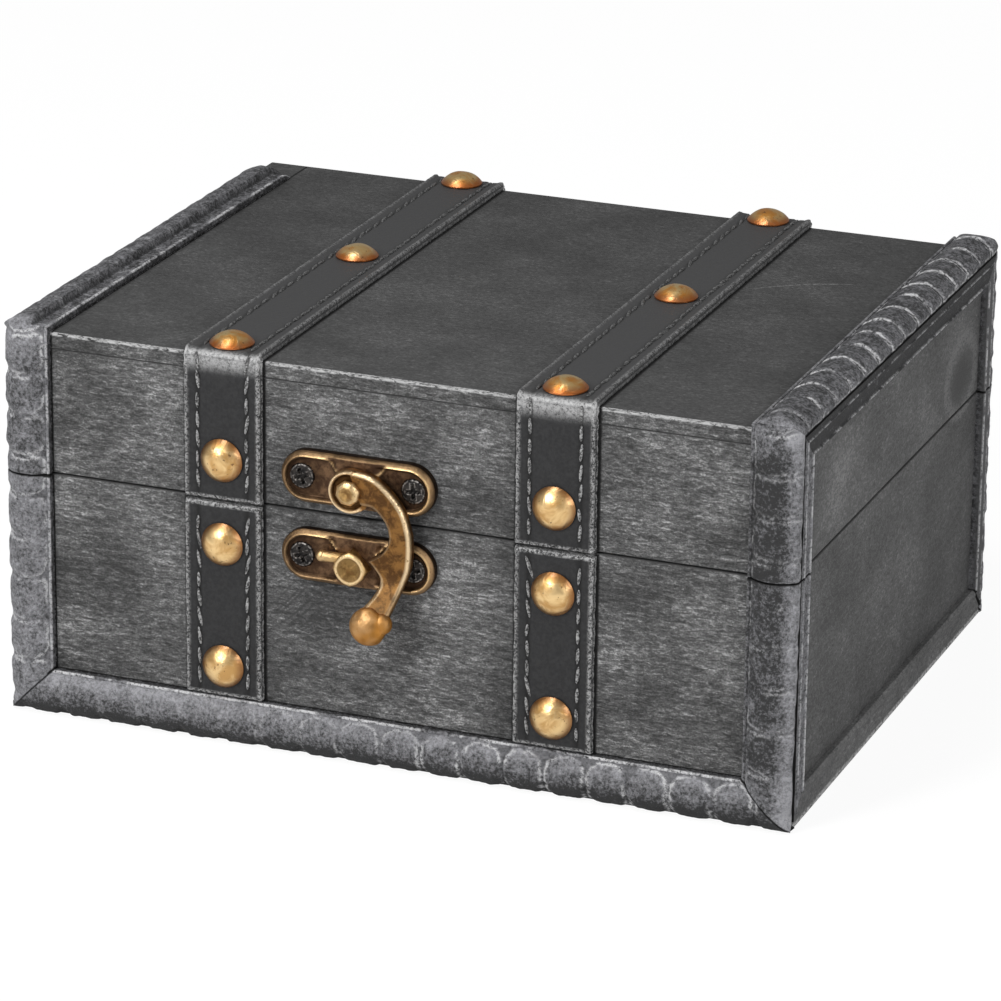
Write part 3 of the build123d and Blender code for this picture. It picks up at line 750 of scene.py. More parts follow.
def moulding_bar(start_of, end_of, length, with_leg, style, seed):
    """A closed bar of moulding along w between two ends given as functions of u and v."""
    stations = section_stations(with_leg)
    bar = bmesh.new()
    rim, dark_and_shade, pale, smooth = layers(bar, "rim", "dark_and_shade", "pale", "smooth")
    leg = style["leg"]
    for vert, column, up in grid_points(bar, len(stations) - 1, round(length / ROW_SPACING)):
        kind, u, v = stations[column]
        start, end = start_of(u, v), end_of(u, v)
        w = start + up * (end - start)
        wander = drift((w * 0.12, seed, 0)) * SEAM_WANDER
        waves = drift((w * 0.22, seed, 7)) * EDGE_WAVES
        vert[pale] = style["pale"](w)
        if kind == "crown":
            angle = math.atan2(v - CROWN_V, u - CROWN_U)
            across = (angle - CROWN_START) * CROWN_RADIUS
            share = across / CROWN_ARC
            along = w - style["phase"] + wander
            inset = pillow_inset(across, along, style["bow"], style["corner"])
            inset += OUTLINE_DRIFT * drift((across * 0.9, w * 0.9, seed + 11))
            outer = smooth_share(share, 0.5, 0.8)
            press = smooth_share(inset, -0.1, PILLOW_EDGE + 1.8 * outer)
            unit = drift((math.floor(along / PILLOW_PITCH) * 1.7, seed, 3))
            depth = style["depth"](w) * (0.9 + 0.6 * unit)
            lumps = drift((u * 0.5, w * 0.4, seed)) * LUMP_HEIGHT
            depth += (style["edge_depth"] - depth) * outer
            lift = lumps - depth * (1 - press) * smooth_share(share, 0.0, 0.06)
            over_leg = max(0.0, -LEG - u) * style["bulge"](w)
            u = max(u, -LEG) - over_leg - (leg - LEG) * smooth_share(share, 0.55, 0.95)
            ledge, edge_from = style["ledge"], style["edge_from"]
            if share < ledge:
                v = LIP_HEIGHT + (v - LIP_HEIGHT) * smooth_share(share, ledge - 0.07, ledge)
            u += lift * math.cos(angle) + (waves if share > 0.7 else 0.0) * share
            v += lift * math.sin(angle) + 0.5 * waves * (1 - share)
            band = smooth_share(inset, 0.05, 0.35) * (1 - smooth_share(inset, 0.5, 1.0))
            vert[rim] = style["rim"](w) * band
            vert[dark_and_shade] = 0.8 * (1 - smooth_share(inset, -0.15, 0.25)) * style["dark"](w)
            # Painted shade: a dark line along the ledge's step.
            vert[dark_and_shade] += 0.8 * bell(share - ledge + 0.06, 0.02)
            # Painted shade: a black line where the crown meets the leg.
            if share > CROWN_SHADE_LINE_FROM:
                vert[dark_and_shade] = 1.0
            vert[pale] += style["edge_pale"] * smooth_share(share, edge_from, edge_from + 0.28)
            vert[pale] += style["foot_pale"] * (1 - smooth_share(share, 0.05, 0.45))
            vert[pale] -= 0.10 * press
        elif kind == "leg":
            ridge = sum(height * bell(v - place, width / 2) for place, height, width in RIDGES)
            u = -leg - ridge - 0.15 * waves
            vert[rim] = min(1.0, 2.6 * ridge)
            vert[pale] = style["leg_pale"] + 0.8 * ridge
            # Painted shade: the leg's top, just under the crown, is black.
            vert[dark_and_shade] = 1.0 if v > -1.0 else 0.0
            vert[smooth] = style["leg_smooth"]
        elif kind == "lip":
            vert[rim] = style["lip"]
        # Painted shade: the lip's side against the panel is black, as its contact shadow.
        elif kind == "gap":
            vert[dark_and_shade] = 1.0
        elif kind == "flank":
            vert[pale] = 0.1
        if min(w - start, end - w) < style["dark_ends"]:
            vert[dark_and_shade] = 1.0
        vert.co = Vector((u, v, w))
    bmesh.ops.triangulate(bar, faces=closed(bar))
    return bar


def stand(bar, x_axis, y_axis, z_axis, origin):
    """Moves a bar from its own axes to the case's."""
    turn = Matrix((Vector(x_axis), Vector(y_axis), Vector(z_axis))).transposed().to_4x4()
    bmesh.ops.transform(bar, matrix=Matrix.Translation(origin) @ turn, verts=bar.verts)


def rounded_knee(bar):
    """Rounds what sticks out past the knee, where front or back turns into the top."""
    top = LID_TOP + CROWN_HEIGHT
    reach = CASE_DEPTH / 2 + CROWN_HEIGHT
    for vert in bar.verts:
        y = vert.co.y - CASE_MIDDLE
        side = 1 if y > 0 else -1
        deep = abs(y) - (reach - KNEE_RADIUS)
        high = vert.co.z - (top - KNEE_RADIUS)
        distance = math.hypot(deep, high)
        if deep > 0 and high > 0 and distance > KNEE_RADIUS:
            share = KNEE_RADIUS / distance
            vert.co.y = CASE_MIDDLE + side * (reach - KNEE_RADIUS + deep * share)
            vert.co.z = top - KNEE_RADIUS + high * share


def worn_corner(bar):
    """Rubs down what stands over the lid's board near its back left corner."""
    for vert in bar.verts:
        near = smooth_share(vert.co.y, CASE_BACK - 15.0, CASE_BACK - 5.0)
        above = smooth_share(vert.co.z, LID_TOP - 4.0, LID_TOP + 3.0)
        vert.co.z -= CORNER_WORN_BY * near * above


def placed(bar, side, name):
    """Mirrors a bar made for the right-hand side if it is for the left, and finishes it."""
    if side < 0:
        bmesh.ops.scale(bar, vec=(-1, 1, 1), verts=bar.verts)
    finished(faced_outward(bar), name + "_wood", moulding_wood, name)


# %% [markdown]
# Each kind of moulding ends its own way. The uprights of the base meet the bottom moulding in a
# mitre, and their legs meet the strips along the ends. At the back, the crowns are bevelled at
# the parting, so that the lid can lean back. The left-hand uprights are paler, the right-hand
# ones stand out more over their corner, and every knee is nearly white, rubbed and with a
# painted highlight. The back right-hand ones were left dark and smooth.

# %% The uprights


def knee_wear_and_highlight(w):
    """How much more an upright is rubbed near the lid's knee, with a painted highlight there too.
    """
    return 0.30 * smooth_share(w, LID_TOP - 7.0, LID_TOP - 1.0)


def upright(side, at_back, lid, seed):
    """One upright moulding: side is -1 for the left and 1 for the right."""
    def lean(v):
        return BACK_BEVEL * (v - HINGE_OFFSET) if at_back else -1.0

    def start_of(u, v):
        if lid:
            return max(LID_BOTTOM, PARTING + lean(v))
        return max(0.0, u + LEG + MITRE_GAP) if v > -0.1 else LEG - v + MITRE_GAP

    def end_of(u, v):
        return LID_TOP + v - MITRE_GAP if lid else min(BASE_TOP, PARTING - lean(v))

    if side < 0:
        style = {**PLAIN_STYLE, "depth": lambda w: 0.30,
                 "rim": lambda w: 0.75 + knee_wear_and_highlight(w),
                 "pale": lambda w: (0.58 if w < PARTING else 0.42) + knee_wear_and_highlight(w)}
    else:
        style = {**PLAIN_STYLE, "leg": LEG + 0.5, "corner": 1.6, "bow": 0.9,
                 "edge_pale": 0.56, "leg_pale": 0.36, "lip": 0.1, "edge_from": 0.52,
                 "bulge": lambda w: 0.5 * smooth_share(w, 5.0, 50.0),
                 "depth": lambda w: 0.16 + 0.22 * (1 - smooth_share(w, 15.0, 30.0)),
                 "rim": lambda w: 0.40 + knee_wear_and_highlight(w), "dark": lambda w: 0.35,
                 "pale": lambda w: (0.19 - 0.0010 * w if w < PARTING else 0.04)
                 + 1.2 * knee_wear_and_highlight(w) + 0.30 * (1 - smooth_share(w, 8.0, 16.0))}
    if at_back and side > 0:
        style.update({"leg_smooth": 0.9, "rim": lambda w: 0.15})
    style["phase"] = PARTING - 4.2
    if not lid:
        style["dark_ends"] = 0.3
    length = LID_TOP - LID_BOTTOM if lid else BASE_TOP
    bar = moulding_bar(start_of, end_of, length, True, style, seed)
    out, place = (1, CASE_BACK) if at_back else (-1, CASE_FRONT)
    stand(bar, (-1, 0, 0), (0, out, 0), (0, 0, 1), (CASE_SIDE, place, 0))
    if lid:
        rounded_knee(bar)
    if lid and at_back and side < 0:
        worn_corner(bar)
    placed(bar, side, "{}_{}_{}_moulding".format(
        "lid" if lid else "base", "right" if side > 0 else "left",
        "back" if at_back else "front"))


seed = 0
for side in (-1, 1):
    for at_back in (False, True):
        for lid in (False, True):
            seed += 1
            upright(side, at_back, lid, seed * 5.7)
print("uprights:", seed)

# %% [markdown]
# The mouldings along the lid's top meet the uprights at the rounded knee. The right-hand one is
# dark with white seams, and its leg is painted darker as shade; the left-hand one is nearly
# smooth, with a ledge next to its lip.
# The bottom ones are smooth at their left end, and their pillows show more and more as pale
# arches towards the right; their upper side is painted paler and their lower side darker, as
# painted light and shade. The strips along the ends keep the frame's shape.

# %% The mouldings along the lid's top and along the bottom


def end_wear_and_highlight(w, length):
    """How much more a top moulding is rubbed near its ends, the knees, with a painted highlight
    there too.
    """
    return 0.30 * (1 - smooth_share(min(w, length - w), -1.0, 2.0))


def top_moulding(side, seed):
    """A moulding along one end of the lid's top, from front to back."""
    style = {**PLAIN_STYLE, "corner": 1.8, "bow": -1.6, "edge_pale": 0.06, "phase": 2.6}
    # The right-hand one's leg is painted darker, as painted shade under its crown.
    if side > 0:
        style.update({"leg": LEG + 0.5, "bulge": lambda w: 0.2, "depth": lambda w: 0.45,
                      "rim": lambda w: 0.3 + 1.1 * smooth_share(w, 4.0, 9.0),
                      "dark": lambda w: 1.0, "leg_pale": -0.2, "lip": 0.25,
                      "pale": lambda w: 0.30 + end_wear_and_highlight(w, CASE_DEPTH)})
    else:
        style.update({"depth": lambda w: 0.16, "dark": lambda w: 0.12, "lip": 0.9,
                      "rim": lambda w: 0.30 * (1 - smooth_share(w, 60.0, 110.0)),
                      "pale": lambda w: 0.40 + end_wear_and_highlight(w, CASE_DEPTH), "ledge": 0.30,
                      "foot_pale": -0.12})
    bar = moulding_bar(lambda u, v: -v + MITRE_GAP, lambda u, v: CASE_DEPTH + v - MITRE_GAP,
                       CASE_DEPTH, True, style, seed)
    stand(bar, (-1, 0, 0), (0, 0, 1), (0, 1, 0), (CASE_SIDE, CASE_FRONT, LID_TOP))
    rounded_knee(bar)
    if side < 0:
        worn_corner(bar)
    placed(bar, side, "lid_{}_top_moulding".format("right" if side > 0 else "left"))


def bottom_moulding(at_back, seed):
    """The moulding along the front's or the back's bottom edge."""
    def clear(w):
        return smooth_share(w, 40.0, 120.0)

    width = 2 * CASE_SIDE
    # Painted light and shade: the crown is paler along its upper foot and darker down its outer,
    # lower side.
    style = {**PLAIN_STYLE, "bulge": lambda w: 0.0, "corner": 3.8, "bow": 0.0,
             "edge_pale": -0.52, "edge_from": 0.42, "edge_depth": 0.7, "foot_pale": 0.40,
             "phase": 2.6, "lip": 1.0, "dark_ends": 0.3,
             "depth": lambda w: 0.06 + 0.50 * clear(w),
             "rim": lambda w: 0.10 + 0.95 * clear(w), "dark": lambda w: 0.05 + 0.50 * clear(w),
             "pale": lambda w: 0.38 - 0.03 * clear(w)}
    bar = moulding_bar(lambda u, v: u + MITRE_GAP, lambda u, v: width - u - MITRE_GAP,
                       width, False, style, seed)
    for vert in bar.verts:
        vert.co.x = max(vert.co.x, -LEG)
    stand(bar, (0, 0, 1), (0, -1, 0), (1, 0, 0), (-CASE_SIDE, CASE_FRONT, LEG))
    if at_back:
        bmesh.ops.scale(bar, vec=(1, -1, 1), space=Matrix.Translation((0, -CASE_MIDDLE, 0)),
                        verts=bar.verts)
    placed(bar, 1, "base_{}_bottom_moulding".format("back" if at_back else "front"))


for side in (-1, 1):
    top_moulding(side, 50.0 + side)
for at_back in (False, True):
    bottom_moulding(at_back, 70.0 + at_back)
# The strips get the paler copy of the end wood, which stands in for light.
for node in ("base_left_bottom_strip", "base_right_bottom_strip"):
    refinish(node, lit_strip_wood)
print("long mouldings: 4")

# %% [markdown]
# A strap is a ribbon of leather with a rounded, frayed edge and a row of stitches near each side.
# The stitching pulls a shallow channel into the face. Again one grid is enough: its columns go
# round the strap's section, its rows follow the strap's path, and the long strap of the lid
# turns over both of the lid's edges. The values for the leather are painted on the way: wear,
# dust with painted top light, the channel's painted shade, and the bend's cracks with a painted
# highlight.

# %% Straps

strap_low, strap_high = box_mm("base_left_front_strap")
STRAP_WIDTH = strap_high.x - strap_low.x
STRAP_THICKNESS = 1.6
STRAP_BEND = 2.0
STITCH_INSET = 3.1
STITCH_CHANNEL = 0.25
STRAP_ROW = 0.5
STRAP_OVERHANG = 0.1
FACE_STEPS = 28
FRAYING = 0.22
WORN_END = 0.6
UPRIGHT = math.pi / 2


def strap_section():
    """The strap's section as (across, height, wear), once round: two rolled, frayed edges."""
    half = STRAP_WIDTH / 2
    points = [(-half, 0.0, 0.5), (-half - 0.12, 0.25, 0.9), (-half - 0.12, 0.60, 1.0),
              (-half + 0.10, 0.85, 0.1), (-half + 0.12, 0.95, 0.0), (-half + 0.02, 1.15, 0.8),
              (-half + 0.08, 1.55, 1.0), (-half + 0.35, 1.80, 1.0), (-half + 0.70, 1.78, 0.7),
              (-half + 1.05, 1.60, 0.15)]
    for step in range(FACE_STEPS + 1):
        across = -half + 1.35 + (2 * half - 2.7) * step / FACE_STEPS
        from_edge = half - abs(across)
        channel = STITCH_CHANNEL * bell(from_edge - STITCH_INSET, 0.55)
        points.append((across, STRAP_THICKNESS - 0.08 - channel, 0.0))
    points += [(-across, height, wear) for across, height, wear in reversed(points[:10])]
    points += [(half / 2, 0.0, 0.0), (-half / 2, 0.0, 0.0), (-half, 0.0, 0.5)]
    return points


def straight(start, end, angle):
    """Rows of a strap's path along a straight run between two points (y, z)."""
    (y, z), (end_y, end_z) = start, end
    rows = round(math.hypot(end_y - y, end_z - z) / STRAP_ROW)
    return [(y + (end_y - y) * step / rows, z + (end_z - z) * step / rows, angle)
            for step in range(rows + 1)]


def lid_strap_path():
    """Points and outward directions of the lid strap's line, from the front to the back."""
    radius = STRAP_BEND - STRAP_THICKNESS
    low, top = LID_BOTTOM - STRAP_OVERHANG, LID_TOP - radius
    front, back = CASE_FRONT + radius, CASE_BACK - radius

    def turning(centre, angles):
        return [(centre - radius * math.sin(angle), top + radius * math.cos(angle), angle)
                for angle in angles]

    shares = [step / 10 for step in range(1, 10)]
    return (straight((CASE_FRONT, low), (CASE_FRONT, top), UPRIGHT)
            + turning(front, [UPRIGHT * (1 - share) for share in shares])
            + straight((front, LID_TOP), (back, LID_TOP), 0.0)
            + turning(back, [-UPRIGHT * share for share in shares])
            + straight((CASE_BACK, top), (CASE_BACK, low), -UPRIGHT))


def strap_piece(node, path, seed):
    """Sweeps the strap's section along a path of (y, z, angle of its outward direction)."""
    middle = middle_of(node).x
    section = strap_section()
    rows = len(path) - 1
    ribbon = bmesh.new()
    wear, dust_and_top_light, channel, bend = layers(ribbon, "wear", "dust_and_top_light", "channel", "bend")
    for vert, column, up in grid_points(ribbon, len(section) - 1, rows):
        across, height, worn = section[column]
        row = round(up * rows)
        y, z, angle = path[row]
        end = min(row, rows - row) * STRAP_ROW
        turn = 0.25 * math.sin(2 * angle) ** 2
        # The bend: cracked leather with a painted highlight where the strap turns over the edge.
        vert[bend] = bell(abs(angle) - 1.1, 0.38) if 0.1 < abs(angle) < 1.5 else 0.0
        if abs(angle) > 1.5:
            vert[bend] = 0.75 * smooth_share(z, LID_TOP - 4.2, LID_TOP - 0.6)
        frayed = drift((across * 1.3, row * 0.45, seed)) * FRAYING
        edge = 1.0 if abs(across) > STRAP_WIDTH / 2 - 1 else 0.0
        height = height * min(1.0, 0.75 + end)
        on_top = math.cos(angle)
        worn = (0.75 - 0.35 * on_top) * worn + turn
        vert[wear] = min(1.0, worn + 0.8 if end < WORN_END else worn)
        # Dust and painted top light, as much as the strap faces up.
        vert[dust_and_top_light] = on_top
        # Painted shade along the stitch channel, less on the lid's top.
        if height > STRAP_THICKNESS / 2:
            from_stitch = STRAP_WIDTH / 2 - abs(across) - STITCH_INSET
            vert[channel] = (0.85 - 0.4 * on_top) * bell(from_stitch, 0.5)
        out = Vector((0, -math.sin(angle), math.cos(angle)))
        vert.co = Vector((middle + across + edge * frayed, y, z)) + out * (
            height + (0.5 * frayed if height > 0.3 else 0.0))
    closed(ribbon)
    finished(faced_outward(ribbon), node + "_leather", strap_leather, node)


strap_paths = {}
for hand in ("left", "right"):
    strap_paths[f"lid_{hand}_strap"] = lid_strap_path()
    for place, line, angle in (("front", CASE_FRONT, UPRIGHT), ("back", CASE_BACK, -UPRIGHT)):
        node = f"base_{hand}_{place}_strap"
        low, high = box_mm(node)
        strap_paths[node] = straight((line, low.z), (line, high.z), angle)
for seed, (node, path) in enumerate(strap_paths.items()):
    strap_piece(node, path, seed * 3.1)
print("straps:", len(strap_paths))

# %% [markdown]
# Each stitch is a short fat thread lying in the channel, a little askew and never quite like its
# neighbour. They follow the strap's path, so they turn over the lid's edge with it.

# %% Stitches

STITCH_PITCH = 4.4
STITCH_LENGTH = 4.0
STITCH_RADIUS = 0.40
FIRST_STITCH = 2.2


def along_path(path, distance):
    """The point, the direction and the outward direction at a distance along a path."""
    for (y0, z0, a0), (y1, z1, a1) in zip(path, path[1:]):
        step = math.hypot(y1 - y0, z1 - z0)
        if distance <= step:
            share = distance / step
            angle = a0 + (a1 - a0) * share
            out = Vector((0, -math.sin(angle), math.cos(angle)))
            ahead = Vector((0, y1 - y0, z1 - z0)).normalized()
            return Vector((0, y0 + (y1 - y0) * share, z0 + (z1 - z0) * share)), ahead, out
        distance -= step
    return None


def stitch_row(node, path, seed):
    """Both rows of stitches of a strap, as one piece."""
    middle = middle_of(node).x
    length = sum(math.hypot(b[0] - a[0], b[1] - a[1]) for a, b in zip(path, path[1:]))
    rows = bmesh.new()
    for side in (-1, 1):
        for index in range(int((length - 2.0) / STITCH_PITCH)):
            chance = drift((index * 1.7, side * 9.1, seed))
            start = FIRST_STITCH + index * STITCH_PITCH + 0.8 * chance
            found = along_path(path, start + STITCH_LENGTH / 2)
            if found is None:
                continue
            place, ahead, out = found
            across = Vector((1, 0, 0))
            lean = math.radians(6 + 22 * chance) * side
            heading = (ahead * math.cos(lean) + across * math.sin(lean)).normalized()
            aside = heading.cross(out).normalized()
            turn = Matrix((aside, heading, out)).transposed().to_4x4()
            centre = place + out * (STRAP_THICKNESS - STITCH_CHANNEL + 0.10)
            centre.x = middle + side * (STRAP_WIDTH / 2 - STITCH_INSET) + 0.35 * chance
            long = STITCH_LENGTH / 2 * (1 + 0.5 * chance)
            size = Matrix.Diagonal((STITCH_RADIUS, long, STITCH_RADIUS, 1))
            bmesh.ops.create_uvsphere(
                rows, u_segments=8, v_segments=6, radius=1.0,
                matrix=Matrix.Translation(centre) @ turn @ size @ Matrix.Rotation(
                    math.pi / 2, 4, "X"))
    finished(rows, node + "_stitches", thread, node, replaced=False)


for seed, (node, path) in enumerate(strap_paths.items()):
    stitch_row(node, path, seed * 2.3)
print("rows of stitches:", 2 * len(strap_paths))

# %% [markdown]
# A stud is a thin pressed dome with a rolled edge. Its outline is spun round its axis, and low
# noise gives it the small dents of a hammered nail.

# %% Studs

STUD_RADIUS = 4.8
STUD_HEIGHT = 2.8
STUD_RIM = 0.4
STUD_STEPS = 48
STUD_DENTS = 0.10


def dome_outline():
    """The stud's outline as (radius, height), from its rim to its top."""
    rise = STUD_HEIGHT - STUD_RIM
    radius = (STUD_RADIUS ** 2 + rise ** 2) / (2 * rise)
    widest = math.asin(STUD_RADIUS / radius)
    points = [(STUD_RADIUS - 0.25, 0.0), (STUD_RADIUS - 0.02, 0.12)]
    for step in range(15):
        angle = widest * (1 - step / 14)
        points.append((radius * math.sin(angle), STUD_HEIGHT - radius * (1 - math.cos(angle))))
    return points


def stud_at(mesh, dark_and_shade, place, out, seed):
    """Adds one stud with its seat at a place, facing out, its edge darker than its top."""
    made = spun(mesh, dome_outline(), STUD_STEPS)
    for vert in made:
        dent = drift(vert.co * 0.42 + Vector((seed, 0, 0))) * STUD_DENTS
        # Painted darker towards the edge: patina and the darker reflection of the dome's sides.
        vert[dark_and_shade] = 0.85 * smooth_share(math.hypot(vert.co.x, vert.co.y), 3.0, STUD_RADIUS)
        vert.co.z = min(STUD_HEIGHT, max(0.0, vert.co.z + dent * min(1.0, vert.co.z)))
    turn = Vector(out).to_track_quat("Z", "Y").to_matrix().to_4x4()
    bmesh.ops.transform(mesh, matrix=Matrix.Translation(place) @ turn, verts=made)


strap_middles = [middle_of(f"lid_{hand}_strap").x for hand in ("left", "right")]
seat_front = CASE_FRONT - STRAP_THICKNESS
seat_back = CASE_BACK + STRAP_THICKNESS
LID_STUD_HEIGHT = PARTING + 9.1
BASE_STUD_HEIGHTS = (PARTING - 9.8, 17.8)
TOP_STUD_PLACES = (CASE_FRONT + 4.0, CASE_MIDDLE + 2.6, CASE_BACK - 4.0)


def studs_piece(name, node, material, places):
    """Studs of one metal, as one piece."""
    mesh = bmesh.new()
    dark_and_shade, = layers(mesh, "dark_and_shade")
    for index, (place, out) in enumerate(places):
        stud_at(mesh, dark_and_shade, Vector(place), out, index * 7.7 + len(name))
    closed(mesh)
    finished(faced_outward(mesh), name, material, node)


base_places = []
lid_side_places = []
lid_top_places = []
for x in strap_middles:
    lid_side_places += [((x, seat_front, LID_STUD_HEIGHT), (0, -1, 0)),
                        ((x, seat_back, LID_STUD_HEIGHT), (0, 1, 0))]
    for z in BASE_STUD_HEIGHTS:
        base_places += [((x, seat_front, z), (0, -1, 0)), ((x, seat_back, z), (0, 1, 0))]
    for y in TOP_STUD_PLACES:
        lid_top_places.append(((x, y, LID_TOP + STRAP_THICKNESS), (0, 0, 1)))
studs_piece("base_domes", "base_studs", stud_brass, base_places)
studs_piece("lid_domes", "lid_studs", stud_brass, lid_side_places)
studs_piece("lid_top_domes", "lid_studs", stud_brass_warm_reflection, lid_top_places)
print("studs:", len(base_places) + len(lid_side_places) + len(lid_top_places))

# %% [markdown]
# The latch is cast bronze. Its parts are worked out lying flat, as (x, y, height over the case),
# and then stood up against the front. Each plate is a grid whose columns go round the outline and
# whose rows go inwards: up the wall, over the round shoulder and a raised rim, down into the
# screw pocket, or over the land in the middle that carries the rivet or the post.

# %% Latch plates

PLATE_RADIUS = 5.8
PLATE_STRAIGHT = 11.7
PLATE_WALL = 1.5
POCKET_FLOOR = 1.75
SCREW_RADIUS = 2.75
SCREW_REACH = 12.7
ARC_STEPS, LINE_STEPS = 30, 60
pivot = middle_of("latch_rivet")


def cast_piece(mesh, node, metal, x, z):
    """Stands a flat part up against the front, with its origin at x and z, and finishes it."""
    turn = Matrix(((1, 0, 0), (0, 0, -1), (0, 1, 0))).to_4x4()
    bmesh.ops.transform(
        mesh, matrix=Matrix.Translation((x, CASE_FRONT, z)) @ turn, verts=mesh.verts)
    finished(faced_outward(mesh), node + "_metal", metal, node)


def plate_outline():
    """The outline as (middle of its arc, angle), once round the slot shape."""
    arc = [(PLATE_STRAIGHT, math.pi * (step / ARC_STEPS - 0.5)) for step in range(ARC_STEPS)]
    line = [(PLATE_STRAIGHT * (1 - 2 * step / LINE_STEPS), math.pi / 2)
            for step in range(LINE_STEPS)]
    half = arc + line
    return half + [(-middle, angle + math.pi) for middle, angle in half] + half[:1]


def plate_surface(x, y, inset, top):
    """Height, painted rim with its painted highlight, and painted dirt and shade of the plate's
    face.
    """
    shoulder = PLATE_WALL + (top - 0.4 - PLATE_WALL) * math.sin(
        min(1.0, inset / 0.7) * math.pi / 2)
    pocket = shoulder + (POCKET_FLOOR - shoulder) * smooth_share(inset, 1.2, 1.7)
    side = abs(x)
    curl = 2.2 * (1 - smooth_share(side, 4.6, 7.0)) * smooth_share(y, 0.0, 1.5)
    shown = smooth_share(side, 3.9, 4.9)
    ridge = bell(inset - 1.05 - curl, 0.32) * shown
    land = 1 - smooth_share(side, 4.3, 5.6)
    height = pocket + (top - 0.12 - pocket) * land * smooth_share(inset, 0.0, 0.7)
    # Painted highlight: the raised rim is brighter towards the upper right.
    upper = 0.25 + 0.75 * smooth_share(y + 0.5 * x, -4.0, 3.0)
    from_screw = math.hypot(side - SCREW_REACH, y)
    height -= 1.2 * (1 - smooth_share(from_screw, SCREW_RADIUS - 0.3, SCREW_RADIUS - 0.05))
    # Dirt in the screw pockets, and painted shade just inside the raised rim.
    dirt_and_shade = 0.55 * smooth_share(inset, 1.3, 1.8) * (1 - smooth_share(from_screw, 3.0, 6.0))
    dirt_and_shade += 0.5 * bell(inset - 1.75 - curl, 0.35) * shown
    return height + 0.38 * ridge, ridge * upper + 0.25 * bell(inset - 0.35, 0.25), dirt_and_shade


def latch_plate(node):
    """A cast plate with its bosses and sunk screw pockets."""
    top = CASE_FRONT - box_mm(node)[0].y
    outline = plate_outline()
    insets = [0.0, 0.0, 0.0, 0.08, 0.2, 0.35, 0.5, 0.65, 0.8, 0.92, 1.05, 1.18, 1.3, 1.45, 1.6,
              1.8, 2.1, 2.4, 2.7, 3.0, 3.3, 3.6, 4.2, 4.8, 5.3, 5.8]
    walls = [0.0, PLATE_WALL / 2, PLATE_WALL]
    rows = len(insets) - 1
    plate = bmesh.new()
    rim, dark_and_shade = layers(plate, "rim", "dark_and_shade")
    for vert, column, up in grid_points(plate, len(outline) - 1, rows):
        middle, angle = outline[column]
        row = round(up * rows)
        inset = insets[row]
        x = middle + (PLATE_RADIUS - inset) * math.cos(angle)
        y = (PLATE_RADIUS - inset) * math.sin(angle)
        height, painted_rim, dirt_and_shade = plate_surface(x, y, inset, top)
        if row < len(walls):
            # The outer wall is painted dark.
            height, painted_rim, dirt_and_shade = walls[row], 0.0, 0.85
        vert.co = Vector((x, y, height))
        vert[rim] = min(1.0, painted_rim)
        vert[dark_and_shade] = min(1.0, dirt_and_shade)
    closed(plate)
    place = middle_of(node)
    cast_piece(plate, node, plate_bronze, place.x, place.z)


for node in ("latch_plate", "catch_plate"):
    latch_plate(node)
print("plates: 2, pivot at", round(pivot.x, 2), round(pivot.z, 2))

# %% [markdown]
# Screws, rivet and post are turned parts. Each outline is spun, and the screws get their cross
# recess by pushing down the points inside a cross. The rivet's head has eight sides. The post
# starts as a diamond and ends round, and a pin crosses it to the left and ends in a bead.

# %% Turned parts of the latch

CROSS_HALF_WIDTH = 0.42
CROSS_REACH = 1.75
CROSS_DEPTH = 0.75
SCREW_FOOT, SCREW_EDGE, SCREW_DOME = 1.2, 2.0, 0.22
SCREW_STEPS = 22
RIVET_HEAD = 1.7
RIVET_TURN = 0.25
POST_FACE_RADIUS = 3.7
PIN_RADIUS = 1.15
PIN_BEAD = 1.27
PIN_RISE, PIN_LIFT = 1.8, 0.9


def cross_depth(x, y):
    """How far inside the screw's cross a point is, in mm; below 0 outside it."""
    upright_arm = min(CROSS_HALF_WIDTH - abs(x), CROSS_REACH - abs(y))
    level_arm = min(CROSS_HALF_WIDTH - abs(y), CROSS_REACH - abs(x))
    return max(upright_arm, level_arm)


def latch_screws(node):
    """The two screws of a plate, each turned its own way, with painted glints along the cross and
    the edge.
    """
    place = middle_of(node)
    screws = bmesh.new()
    rim, = layers(screws, "rim")
    outline = [(SCREW_RADIUS, SCREW_FOOT), (SCREW_RADIUS, SCREW_EDGE - 0.25),
               (SCREW_RADIUS - 0.12, SCREW_EDGE - 0.05)]
    outline += [(SCREW_RADIUS * (1 - step / SCREW_STEPS),
                 SCREW_EDGE + SCREW_DOME * math.sin(math.pi / 2 * step / SCREW_STEPS))
                for step in range(2, SCREW_STEPS)] + [(0.0, SCREW_EDGE + SCREW_DOME)]
    for side, turned in ((-1, 0.35), (1, 0.12)):
        for vert in spun(screws, outline, 72):
            x, y, height = vert.co
            cross_x = x * math.cos(turned) + y * math.sin(turned)
            cross_y = y * math.cos(turned) - x * math.sin(turned)
            inside = cross_depth(cross_x, cross_y)
            grain = 0.5 + drift((x * 2, y * 2, side * 9.0))
            # Painted highlight: glints along the cross and near the edge of the head.
            glint = 0.55 * bell(inside + 0.05, 0.16) + 0.5 * bell(math.hypot(x, y) - 2.5, 0.15)
            vert[rim] = smooth_share(grain, 0.35, 0.75) * glint if height > 1.9 else 0.0
            if height > 1.8:
                vert.co.z -= CROSS_DEPTH * smooth_share(inside, -0.08, 0.14)
            vert.co.x += side * SCREW_REACH
    closed(screws)
    cast_piece(screws, node, screw_steel, place.x, place.z)


